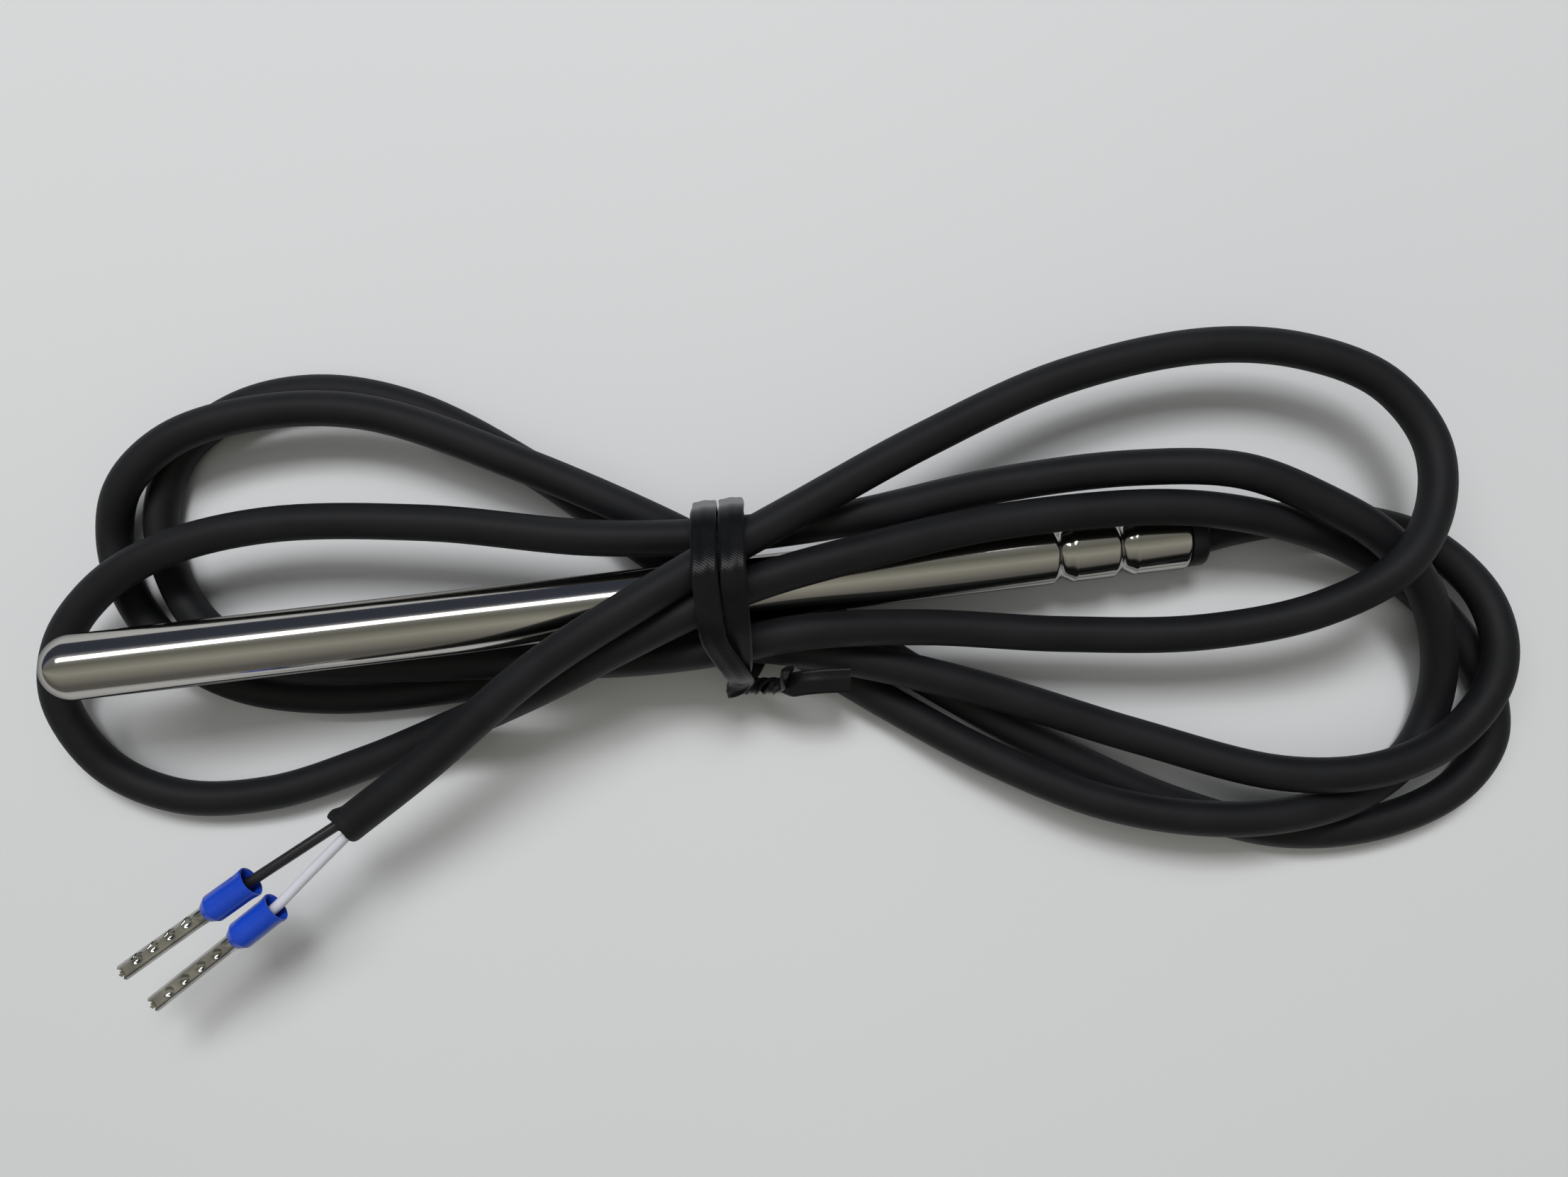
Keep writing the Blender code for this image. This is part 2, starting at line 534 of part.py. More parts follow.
# twist tie: its turns follow the outline of the strands where they cross the station
def bundle_outline(low, high, reach, steps):
    """Even points round the outline of all strands from x = low to high, reach off their centres."""
    track = [a.lerp(b, k / 16) for a, b in zip(cable_points, cable_points[1:]) for k in range(16)]
    centres = [(p.y, p.z) for p in track if low <= p.x <= high]
    cloud = []
    for y, z in centres:
        for k in range(40):
            turn = 2 * math.pi * k / 40
            cloud.append((y + reach * math.cos(turn), z + reach * math.sin(turn)))
    cloud.sort()
    hull = []
    for order in (cloud, cloud[::-1]):
        chain = []
        for p in order:
            while len(chain) > 1 and ((chain[-1][0] - chain[-2][0]) * (p[1] - chain[-2][1])
                                      - (chain[-1][1] - chain[-2][1]) * (p[0] - chain[-2][0])) <= 0:
                chain.pop()
            chain.append(p)
        hull += chain[:-1]
    spans = [math.dist(a, b) for a, b in zip(hull, hull[1:] + hull[:1])]
    whole = sum(spans)
    ring = []
    for k in range(steps):
        left = whole * k / steps
        n = 0
        while left > spans[n]:
            left -= spans[n]
            n += 1
        share = left / spans[n]
        a, b = hull[n], hull[(n + 1) % len(hull)]
        ring.append((a[0] + (b[0] - a[0]) * share, a[1] + (b[1] - a[1]) * share))
    return ring


def ease(share):
    return share * share * (3 - 2 * share)


wire_half = TIE_WIRE_HEIGHT / 2
pitch = TIE_WIDTH + TIE_TURN_GAP
last_turn = TIE_START - pitch * LAP_CROSS
twist_from = Vector(TWIST_FROM) / 1000
twist_to = Vector(TWIST_TO) / 1000
outline = bundle_outline(last_turn - TIE_WIDTH / 2 - TIE_REACH, TIE_START + TIE_WIDTH / 2 + TIE_REACH,
                         cable_radius + TIE_CLEAR + wire_half, TIE_LAP_STEPS)
front = min(range(TIE_LAP_STEPS), key=lambda k: math.dist(outline[k], twist_from.yz))
outline = [Vector(place) for place in outline[front:] + outline[:front]]


def on_ring(lap, along_x, lift):
    """Centre of the tie at a share of its laps round the strands, lifted off them."""
    at = (lap % 1.0) * TIE_LAP_STEPS
    k = int(at) % TIE_LAP_STEPS
    place = outline[k].lerp(outline[(k + 1) % TIE_LAP_STEPS], at - int(at))
    way = (outline[(k + 2) % TIE_LAP_STEPS] - outline[k - 1]).normalized()
    place += Vector((way.y, -way.x)) * lift
    return Vector((along_x, place.x, place.y))


# the two laps: the second crosses over the first at the front, on its way to the twist
layer = TIE_WIRE_HEIGHT + TIE_TURN_GAP
laps = []
lap_count = int(TIE_LAP_STEPS * (LAP_END - LAP_START))
for k in range(lap_count + 1):
    lap = LAP_START + (LAP_END - LAP_START) * k / lap_count
    lifting = min(max((lap - LAP_CROSS) / (LAP_LIFTED - LAP_CROSS), 0.0), 1.0)
    crossing = max((lap - LAP_LIFTED) / (LAP_END - LAP_LIFTED), 0.0)
    starting = max(1.0 - (lap - LAP_START) / START_EASE, 0.0)
    along_x = (TIE_START - pitch * min(lap, LAP_CROSS)
               + START_SHIFT * ease(starting) + CROSS_SHIFT * ease(crossing))
    laps.append(on_ring(lap, along_x, layer * ease(lifting)))

# the twist: two plates back to back, turning together about one axis
twist_axis = (twist_to - twist_from).normalized()
twist_up = (Vector((0, 0, 1)) - twist_axis * twist_axis.z).normalized()
twist_side = twist_up.cross(twist_axis)
plate_offset = wire_half + TIE_TURN_GAP / 2


def twist_place(step, hand):
    """Centre and width axis of one of the two plates at a step of the twist."""
    turn = 2 * math.pi * TWIST_TURNS * step / TWIST_STEPS
    normal = twist_up * math.cos(turn) + twist_side * math.sin(turn)
    centre = twist_from.lerp(twist_to, step / TWIST_STEPS) + normal * (hand * plate_offset)
    return centre, twist_axis.cross(normal)


def eased_path(start, end, start_way, end_way, steps, reach):
    """Points between two ends that leave and arrive along the given ways."""
    made = []
    for k in range(1, steps):
        t = k / steps
        made.append(start * (2 * t**3 - 3 * t**2 + 1) + start_way * (reach * (t**3 - 2 * t**2 + t))
                    + end * (3 * t**2 - 2 * t**3) + end_way * (reach * (t**3 - t**2)))
    return made


def framed(path, wanted, shares, held_ways):
    """Stations along a path whose width axis meets each wanted one and turns evenly between them."""
    ways = [(b - a).normalized() for a, b in zip(path, path[1:])]
    ways = [ways[0]] + [(a + b).normalized() for a, b in zip(ways, ways[1:])] + [ways[-1]]
    for number, way in held_ways.items():
        ways[number] = way
    carried = [ways[0].orthogonal().normalized()]
    for before, way in zip(ways, ways[1:]):
        axis = before.rotation_difference(way) @ carried[-1]
        carried.append((axis - way * axis.dot(way)).normalized())
    keys = []
    for number in sorted(wanted):
        way = ways[number]
        aim = (wanted[number] - way * wanted[number].dot(way)).normalized()
        angle = math.atan2(way.dot(carried[number].cross(aim)), carried[number].dot(aim))
        if keys:
            angle -= math.pi * round((angle - keys[-1][1]) / math.pi)
        keys.append((number, angle))
    stations = []
    for (low, low_angle), (high, high_angle) in zip(keys, keys[1:]):
        for number in range(low, high + (high == keys[-1][0])):
            share = ease((number - low) / (high - low))
            turn = Quaternion(ways[number], low_angle + (high_angle - low_angle) * share)
            wide = turn @ carried[number]
            width = shares[low] + (shares[high] - shares[low]) * share
            stations.append((path[number], wide, wide.cross(ways[number]), width))
    return stations


path, wanted, shares, held_ways = [], {}, {}, {}


def lay(points, axes=None, width=1.0, way=None):
    """Add points to the tie's path, with the width axis, share and way that each one keeps."""
    for number, point in enumerate(points):
        if way is not None:
            held_ways[len(path)] = way
        if axes is not None and axes[number] is not None:
            wanted[len(path)] = axes[number]
            shares[len(path)] = width
        path.append(point)


lower = [twist_place(TWIST_STEPS - k, -1.0) for k in range(TWIST_STEPS + 1)]
upper = [twist_place(k, 1.0) for k in range(TWIST_STEPS + 1)]
long_run = smooth_curve([lower[0][0]] + [Vector(p) / 1000 for p in LONG_TAIL], 3)[:0:-1]
short_run = smooth_curve([upper[-1][0]] + [Vector(p) / 1000 for p in SHORT_TAIL], 3)[1:]
upper_turn = Vector(UPPER_TURN) / 1000
lower_turn = Vector(LOWER_TURN) / 1000
down = Vector((0.0, 0.0, -1.0))
down_right = Vector((0.35, 0.0, -1.0)).normalized()
across_tail = Vector((0.0, 1.0, 0.0))
on_edge = Vector((0.0, 0.6, 0.8))
along_probe = Vector((1.0, 0.0, 0.0))
lay(long_run, [across_tail] + [None] * (len(long_run) - 5) + [across_tail] + [None] * 3)
lay([p for p, axis in lower], [axis for p, axis in lower], TWIST_SHARE, -twist_axis)
lay(eased_path(lower[-1][0], lower_turn, -twist_axis, down_right, BEND_STEPS, LOWER_BEND))
lay([lower_turn], [across_tail], TWIST_SHARE)
lay(eased_path(lower_turn, laps[0], down_right, (laps[1] - laps[0]).normalized(), BEND_STEPS, LOWER_RUN))
lay(laps, [along_probe] * len(laps))
lay(eased_path(laps[-1], upper_turn, (laps[-1] - laps[-2]).normalized(), down, BEND_STEPS, UPPER_RUN))
lay([upper_turn], [across_tail], TWIST_SHARE)
lay(eased_path(upper_turn, upper[0][0], down, twist_axis, BEND_STEPS, UPPER_BEND))
lay([p for p, axis in upper], [axis for p, axis in upper], TWIST_SHARE, twist_axis)
lay(short_run, [None] * (len(short_run) - 1) + [on_edge], TWIST_SHARE)
tie = ribbon("tie_ribbon", framed(path, wanted, shares, held_ways), tie_plastic, sensor)

# the origin lies below the middle of the probe's length and of the tie's depth
tail_end_x = (to_sensor @ Vector((-sleeve_end, 0.0, 0.0))).x + SLEEVE_RADIUS * math.sin(tilt) * 0.82
tip_end_x = (to_sensor @ Vector((tip_centre, 0.0, 0.0))).x - tube_radius
tie_depths = [v.co.y for v in tie.data.vertices]
tie_foot = min(v.co.z for v in tie.data.vertices)
sensor.location = (-(tail_end_x + tip_end_x) / 2, -(min(tie_depths) + max(tie_depths)) / 2, -tie_foot)
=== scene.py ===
import bpy
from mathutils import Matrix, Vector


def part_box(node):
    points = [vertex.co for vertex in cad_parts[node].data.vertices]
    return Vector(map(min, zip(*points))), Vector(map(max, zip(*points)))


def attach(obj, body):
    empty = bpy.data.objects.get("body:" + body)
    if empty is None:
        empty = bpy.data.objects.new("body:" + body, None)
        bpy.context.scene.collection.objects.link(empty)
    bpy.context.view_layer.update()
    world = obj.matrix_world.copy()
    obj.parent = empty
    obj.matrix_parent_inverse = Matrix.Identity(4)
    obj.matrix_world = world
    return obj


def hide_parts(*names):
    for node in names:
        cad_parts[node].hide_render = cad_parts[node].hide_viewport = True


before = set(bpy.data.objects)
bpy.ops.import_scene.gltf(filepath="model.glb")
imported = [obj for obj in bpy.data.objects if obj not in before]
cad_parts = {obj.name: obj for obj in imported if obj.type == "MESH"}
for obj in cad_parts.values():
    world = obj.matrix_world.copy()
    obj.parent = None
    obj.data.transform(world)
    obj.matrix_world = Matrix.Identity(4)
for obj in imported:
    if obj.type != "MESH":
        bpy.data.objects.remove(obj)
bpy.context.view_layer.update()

import bpy
import math
from mathutils import Matrix, Quaternion, Vector

mm = 0.001
scene = bpy.context.scene
scene.view_settings.view_transform = "Standard"

# the points below are in millimetres from the hank's own zero point, which lies here in the frame
hankLook = {"pastTip": 53.992 * mm, "besideProbe": 2.0 * mm, "up": 0.067 * mm}
probeLow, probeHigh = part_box("probe_tube")
hankShift = Vector((probeLow[0] + hankLook["pastTip"],
                    (probeLow[1] + probeHigh[1]) / 2 - hankLook["besideProbe"], hankLook["up"]))


def hankPoint(point):
    return hankShift + Vector(point) * mm


def deselectAll():
    if bpy.context.object and bpy.context.object.mode != "OBJECT":
        bpy.ops.object.mode_set(mode="OBJECT")
    bpy.ops.object.select_all(action="DESELECT")


def makeActive(obj):
    deselectAll()
    obj.select_set(True)
    bpy.context.view_layer.objects.active = obj


def pickVerts(obj, test):  # selects what passes the test and stays in edit mode
    bpy.ops.object.mode_set(mode="OBJECT")
    mesh = obj.data
    picked = [bool(test(v.co)) for v in mesh.vertices]
    mesh.vertices.foreach_set("select", picked)
    for edge in mesh.edges:
        edge.select = picked[edge.vertices[0]] and picked[edge.vertices[1]]
    for face in mesh.polygons:
        face.select = all(picked[i] for i in face.vertices)
    bpy.ops.object.mode_set(mode="EDIT")
    return any(picked)


def latheRings(profile, sides, startFill="NOTHING", closeEnd=False):
    # a circle drawn out ring by ring along Z, by (height, radius)
    deselectAll()
    height, radius = profile[0]
    bpy.ops.mesh.primitive_circle_add(vertices=sides, radius=radius, fill_type=startFill)
    obj = bpy.context.object
    bpy.ops.object.mode_set(mode="EDIT")
    bpy.ops.mesh.select_mode(type="VERT")
    bpy.ops.transform.translate(value=(0, 0, height))
    pickVerts(obj, lambda co: co.xy.length > 0.5 * radius)  # the ring without a filled circle's middle
    for nextHeight, nextRadius in profile[1:]:
        bpy.ops.mesh.extrude_region_move(TRANSFORM_OT_translate={"value": (0, 0, nextHeight - height)})
        if abs(nextRadius - radius) > 1e-9:
            grow = nextRadius / radius
            bpy.ops.transform.resize(value=(grow, grow, 1), center_override=(0, 0, nextHeight))
        height, radius = nextHeight, nextRadius
    if closeEnd:
        bpy.ops.mesh.merge(type="CENTER")
    bpy.ops.object.mode_set(mode="OBJECT")
    return obj


def finishPiece(obj, name, mat, smoothAngle=40):
    makeActive(obj)
    bpy.ops.object.mode_set(mode="EDIT")
    bpy.ops.mesh.select_all(action="SELECT")
    bpy.ops.mesh.remove_doubles(threshold=1e-6)
    bpy.ops.mesh.normals_make_consistent(inside=False)
    bpy.ops.object.mode_set(mode="OBJECT")
    bpy.ops.object.shade_smooth_by_angle(angle=math.radians(smoothAngle))
    obj.name = name
    obj.data.name = name
    obj.data.materials.clear()
    obj.data.materials.append(mat)


def standFor(obj, slotName, *nodes):
    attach(obj, "root")
    if nodes:
        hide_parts(*nodes)


def placePiece(obj, matrix, slotName, *nodes):
    obj.matrix_world = matrix
    makeActive(obj)
    bpy.ops.object.transform_apply(location=True, rotation=True, scale=True)
    standFor(obj, slotName, *nodes)


def smoothCurve(points, perSpan):  # centripetal Catmull-Rom
    pts = [Vector(p) for p in points]
    pts = [2 * pts[0] - pts[1]] + pts + [2 * pts[-1] - pts[-2]]
    out = []
    for p0, p1, p2, p3 in zip(pts, pts[1:], pts[2:], pts[3:]):
        t1 = (p1 - p0).length ** 0.5
        t2 = t1 + (p2 - p1).length ** 0.5
        t3 = t2 + (p3 - p2).length ** 0.5
        for k in range(perSpan):
            t = t1 + (t2 - t1) * k / perSpan
            a1 = p0.lerp(p1, t / t1)
            a2 = p1.lerp(p2, (t - t1) / (t2 - t1))
            a3 = p2.lerp(p3, (t - t2) / (t3 - t2))
            b1 = a1.lerp(a2, t / t2)
            b2 = a2.lerp(a3, (t - t1) / (t3 - t1))
            out.append(b1.lerp(b2, (t - t1) / (t2 - t1)))
    out.append(pts[-2])
    return out


def curveCord(name, routes, diameter, mat, roundness):  # one round cord along each route
    data = bpy.data.curves.new(name, "CURVE")
    data.dimensions = "3D"
    data.bevel_depth = diameter / 2
    data.bevel_resolution = roundness
    data.use_fill_caps = True
    for points in routes:
        spline = data.splines.new("POLY")
        spline.points.add(len(points) - 1)
        for slot, point in zip(spline.points, points):
            slot.co = (*point, 1)
    data.materials.append(mat)
    obj = bpy.data.objects.new(name, data)
    scene.collection.objects.link(obj)
    return obj


view = {
    "height": 130 * mm,              # camera above the table
    "over": (13.0 * mm, 1.6 * mm),   # where the lens looks straight down, from the hank's zero point
    "turn": -6.67,                   # degrees the frame is turned against the probe
    "focus": 1840, "frameWide": 2212,  # pixels
    "sensor": 36, "near": 0.005, "far": 5,
}
camData = bpy.data.cameras.new("camera")
camData.lens = view["sensor"] * view["focus"] / view["frameWide"]
camData.sensor_width = view["sensor"]
camData.clip_start = view["near"]
camData.clip_end = view["far"]
camera = bpy.data.objects.new("camera", camData)
scene.collection.objects.link(camera)
camera.location = hankShift + Vector((*view["over"], view["height"]))
camera.rotation_euler = (0, 0, math.radians(view["turn"]))
scene.camera = camera


def newMaterial(name):
    mat = bpy.data.materials.new(name)
    mat.use_nodes = True
    nodes = mat.node_tree.nodes
    return mat, nodes, mat.node_tree.links, nodes["Principled BSDF"]


def objectCoords(nodes, links, stretch):
    coord = nodes.new("ShaderNodeTexCoord")
    if stretch is None:
        return coord.outputs["Object"]
    mapping = nodes.new("ShaderNodeMapping")
    mapping.inputs["Scale"].default_value = stretch
    links.new(coord.outputs["Object"], mapping.inputs["Vector"])
    return mapping.outputs["Vector"]


def noiseOn(nodes, links, scale, detail=3.0, rough=0.55, stretch=None):
    noise = nodes.new("ShaderNodeTexNoise")
    noise.inputs["Scale"].default_value = scale
    noise.inputs["Detail"].default_value = detail
    noise.inputs["Roughness"].default_value = rough
    links.new(objectCoords(nodes, links, stretch), noise.inputs["Vector"])
    return noise


def rampFrom(nodes, links, source, stops):
    ramp = nodes.new("ShaderNodeValToRGB")
    ramp.color_ramp.elements[0].position = stops[0][0]
    ramp.color_ramp.elements[0].color = (*stops[0][1], 1)
    ramp.color_ramp.elements[1].position = stops[-1][0]
    ramp.color_ramp.elements[1].color = (*stops[-1][1], 1)
    for place, color in stops[1:-1]:
        ramp.color_ramp.elements.new(place).color = (*color, 1)
    links.new(source, ramp.inputs["Fac"])
    return ramp


def tonesFrom(nodes, links, noise, shader, low, high):
    tone = rampFrom(nodes, links, noise.outputs["Fac"], [(0.3, low), (0.7, high)])
    links.new(tone.outputs["Color"], shader.inputs["Base Color"])


def roughnessFrom(nodes, links, noise, shader, low, high):
    spread = nodes.new("ShaderNodeMapRange")
    spread.inputs["To Min"].default_value = low
    spread.inputs["To Max"].default_value = high
    links.new(noise.outputs["Fac"], spread.inputs["Value"])
    links.new(spread.outputs["Result"], shader.inputs["Roughness"])


def bumpFrom(nodes, links, pattern, shader, strength, depth):
    bump = nodes.new("ShaderNodeBump")
    bump.inputs["Strength"].default_value = strength
    bump.inputs["Distance"].default_value = depth
    links.new(pattern.outputs["Fac"], bump.inputs["Height"])
    links.new(bump.outputs["Normal"], shader.inputs["Normal"])


def quickMaterial(name, low, high, roughness, scale, bump=0.15, depth=0.04 * mm, extras=()):
    # two tones in a cloud, roughness that wanders a little, and a fine grain
    mat, nodes, links, shader = newMaterial(name)
    for socket, value in extras:
        shader.inputs[socket].default_value = value
    cloud = noiseOn(nodes, links, scale * 0.35)
    tonesFrom(nodes, links, cloud, shader, low, high)
    roughnessFrom(nodes, links, cloud, shader, roughness * 0.85, roughness * 1.15)
    bumpFrom(nodes, links, noiseOn(nodes, links, scale * 3, 4.0, 0.6), shader, bump, depth)
    return mat


tableLook = {"size": 1.2, "height": -0.1 * mm, "low": (0.580, 0.590, 0.607), "high": (0.608, 0.617, 0.630),
             "cloud": 6.0, "roughness": 0.55}
deselectAll()
bpy.ops.mesh.primitive_plane_add(size=tableLook["size"], location=(0, 0, tableLook["height"]))
table = bpy.context.object
table.name = "table"
tableMat, nodes, links, shader = newMaterial("pale_table")
shader.inputs["Roughness"].default_value = tableLook["roughness"]
cloud = noiseOn(nodes, links, tableLook["cloud"], 2.0)
tonesFrom(nodes, links, cloud, shader, tableLook["low"], tableLook["high"])
table.data.materials.append(tableMat)

# a pale cove round the table, as the background of views from the side
coveLook = {"from": 0.42, "round": 0.18, "top": 0.55, "sides": 96, "steps": 12, "smooth": 60}
coveWide = coveLook["from"] + coveLook["round"]
coveTurns = [math.radians(90 * k / coveLook["steps"]) for k in range(coveLook["steps"] + 1)]
coveProfile = [(coveLook["round"] * (1 - math.cos(a)), coveLook["from"] + coveLook["round"] * math.sin(a))
               for a in coveTurns]
cove = latheRings(coveProfile + [(coveLook["top"], coveWide)], coveLook["sides"])
finishPiece(cove, "cove", tableMat, coveLook["smooth"])
cove.visible_glossy = False  # the steel shows the dim room above it
cove.visible_diffuse = False  # and the object is lit by the lamps, not by the cove
cove.visible_shadow = False

# the dim room that the steel shows: from the near wall (0.25) over the ceiling (0.5) to the far wall (0.75)
room = {
    "tones": [(0.25, (0.12, 0.115, 0.105)), (0.31, (0.12, 0.115, 0.105)), (0.38, (0.24, 0.235, 0.205)),
              (0.44, (0.36, 0.35, 0.30)), (0.48, (0.27, 0.265, 0.225)), (0.52, (0.16, 0.16, 0.135)),
              (0.56, (0.19, 0.19, 0.17)), (0.61, (0.20, 0.21, 0.22)), (0.635, (0.045, 0.05, 0.07))],
    "strength": 1.0,
}
world = bpy.data.worlds.new("room")
scene.world = world
world.use_nodes = True
wNodes, wLinks = world.node_tree.nodes, world.node_tree.links
back = wNodes["Background"]
coord = wNodes.new("ShaderNodeTexCoord")
split = wNodes.new("ShaderNodeSeparateXYZ")
wLinks.new(coord.outputs["Generated"], split.inputs["Vector"])
angle = wNodes.new("ShaderNodeMath")  # angle from the zenith towards +Y
angle.operation = "ARCTAN2"
wLinks.new(split.outputs["Y"], angle.inputs[0])
wLinks.new(split.outputs["Z"], angle.inputs[1])
share = wNodes.new("ShaderNodeMapRange")
share.inputs["From Min"].default_value = -math.pi
share.inputs["From Max"].default_value = math.pi
wLinks.new(angle.outputs[0], share.inputs["Value"])
sky = rampFrom(wNodes, wLinks, share.outputs["Result"], room["tones"])
wLinks.new(sky.outputs["Color"], back.inputs["Color"])
back.inputs["Strength"].default_value = room["strength"]

lamps = {  # all aim at the object, and the steel shows the long strip alone
    "strip_lamp": {"place": (-0.10, 0.44, 0.70), "size": (0.85, 0.15), "power": 2.55, "shows": True},
    "key_lamp": {"place": (0.06, 0.40, 0.76), "size": (0.22, 0.22), "power": 3.75, "shows": False},
    "soft_lamp": {"place": (-0.10, 0.15, 0.90), "size": (0.90, 0.90), "power": 1.55, "shows": False},
}
for lampName, look in lamps.items():
    lampData = bpy.data.lights.new(lampName, "AREA")
    lampData.shape = "RECTANGLE"
    lampData.size, lampData.size_y = look["size"]
    lampData.energy = look["power"]
    lamp = bpy.data.objects.new(lampName, lampData)
    scene.collection.objects.link(lamp)
    lamp.location = look["place"]
    lamp.rotation_euler = (-Vector(look["place"])).to_track_quat("-Z", "Y").to_euler()
    lamp.visible_glossy = look["shows"]
print("stage: camera, table and room")

# the probe tube: a polished steel tube with a round tip and two rolled grooves near its tail
tubeLook = {
    "radius": 3.0 * mm, "wall": 0.3 * mm, "length": 106.0 * mm, "lip": 0.15 * mm,
    "grooves": (6.1 * mm, 12.1 * mm), "grooveWidth": 2.2 * mm, "grooveDepth": 0.5 * mm,
    "drawIn": 0.05 * mm,  # the tube draws in a little beside a groove
    "tail": (51.6, 2.0, 3.9), "tipHigh": 13.2, "smooth": 50,
    "sides": 144, "domeSteps": 18, "poleTurn": 4, "plainTo": 17.0 * mm, "plainSteps": 12,
    "fineFrom": 15.5 * mm, "fineTo": 0.2 * mm, "fineSteps": 110,
}
probeTurn = math.asin((tubeLook["tipHigh"] - tubeLook["tail"][2]) * mm / tubeLook["length"])
probeAxis = (Matrix.Translation(hankPoint(tubeLook["tail"])) @ Matrix.Rotation(math.pi, 4, "Z")
             @ Matrix.Rotation(-probeTurn, 4, "Y"))
upToAlong = Matrix.Rotation(math.pi / 2, 4, "Y")  # turns a lathed piece's Z to the probe's X


def tubeRadius(along, radius):
    for groove in tubeLook["grooves"]:
        off = abs(along - groove)
        if off < tubeLook["grooveWidth"] / 2:
            dip = 0.5 + 0.5 * math.cos(math.pi * off / (tubeLook["grooveWidth"] / 2))
            radius -= tubeLook["grooveDepth"] * dip ** 0.8
        elif off < 1.2 * tubeLook["grooveWidth"]:
            radius -= tubeLook["drawIn"] * (1.2 - off / tubeLook["grooveWidth"]) ** 2
    return radius


def evenly(start, end, steps):
    return [start + (end - start) * k / steps for k in range(steps + 1)]


def tubeWall(radius):  # from the tip's pole to the tail, by (height, radius)
    dome = [math.radians(turn) for turn in evenly(tubeLook["poleTurn"], 90, tubeLook["domeSteps"])]
    marks = (evenly(tipCentre, tubeLook["plainTo"], tubeLook["plainSteps"])[1:]
             + evenly(tubeLook["fineFrom"], tubeLook["fineTo"], tubeLook["fineSteps"]))
    return ([(tipCentre + radius * math.cos(a), radius * math.sin(a)) for a in dome]
            + [(mark, tubeRadius(mark, radius)) for mark in marks])


tipCentre = tubeLook["length"] - tubeLook["radius"]
boreRadius = tubeLook["radius"] - tubeLook["wall"]
lip = tubeLook["lip"]
tubeProfile = (tubeWall(tubeLook["radius"])
               + [(0.3 * lip, tubeLook["radius"] - 0.3 * lip), (0.0, tubeLook["radius"] - lip),
                  (0.0, boreRadius + 0.3 * lip), (0.4 * lip, boreRadius)]
               + tubeWall(boreRadius)[::-1])

steelMat, nodes, links, shader = newMaterial("polished_steel")
shader.inputs["Metallic"].default_value = 1.0
streak = noiseOn(nodes, links, 500.0, 3.0, 0.6, (0.04, 1.0, 1.0))
smear = noiseOn(nodes, links, 90.0, 3.0, 0.55, (0.25, 1.0, 1.0))
tonesFrom(nodes, links, smear, shader, (0.56, 0.55, 0.52), (0.66, 0.645, 0.61))
roughnessFrom(nodes, links, smear, shader, 0.07, 0.17)
shader.inputs["Specular Tint"].default_value = (0.35, 0.35, 0.36, 1)  # steel dims a little at its edges
bumpFrom(nodes, links, streak, shader, 0.10, 0.02 * mm)

probeTube = latheRings(tubeProfile, tubeLook["sides"], "TRIFAN", True)
finishPiece(probeTube, "probe_tube_steel", steelMat, tubeLook["smooth"])
placePiece(probeTube, probeAxis @ upToAlong, "tube_steel", "probe_tube")
print("stage: probe tube")

# the rubber sleeve that closes the tail
sleeveLook = {"bore": 2.0 * mm, "radius": 2.85 * mm, "out": 2.0 * mm, "gap": 0.3 * mm, "spigot": 3.5 * mm,
              "spigotRadius": 2.4 * mm, "edge": 0.45 * mm, "edgeSteps": 6, "chamfer": 0.15 * mm, "sides": 96}
s = sleeveLook
edgeTurns = [math.radians(turn) for turn in evenly(90, 0, s["edgeSteps"])]
sleeveProfile = ([(-s["out"], s["bore"]), (-s["out"], s["bore"] + 0.25 * mm)]
                 + [(-s["out"] + s["edge"] * (1 - math.sin(a)), s["radius"] - s["edge"] * (1 - math.cos(a)))
                    for a in edgeTurns]
                 + [(-1.2 * mm, s["radius"]), (-0.5 * mm, s["radius"]),
                    (-s["gap"], s["radius"] - s["chamfer"]), (-s["gap"], s["spigotRadius"]),
                    (s["spigot"], s["spigotRadius"]), (s["spigot"], s["bore"]),
                    (-0.5 * mm, s["bore"]), (-s["out"], s["bore"])])
rubberMat = quickMaterial("black_rubber", (0.005, 0.0052, 0.006), (0.010, 0.0104, 0.012), roughness=0.55,
                          scale=500.0, bump=0.3, extras=[("Specular IOR Level", 0.3)])
endSleeve = latheRings(sleeveProfile, s["sides"])
finishPiece(endSleeve, "tail_sleeve", rubberMat)
placePiece(endSleeve, probeAxis @ upToAlong, "sleeve_rubber", "end_sleeve")
print("stage: tail sleeve")

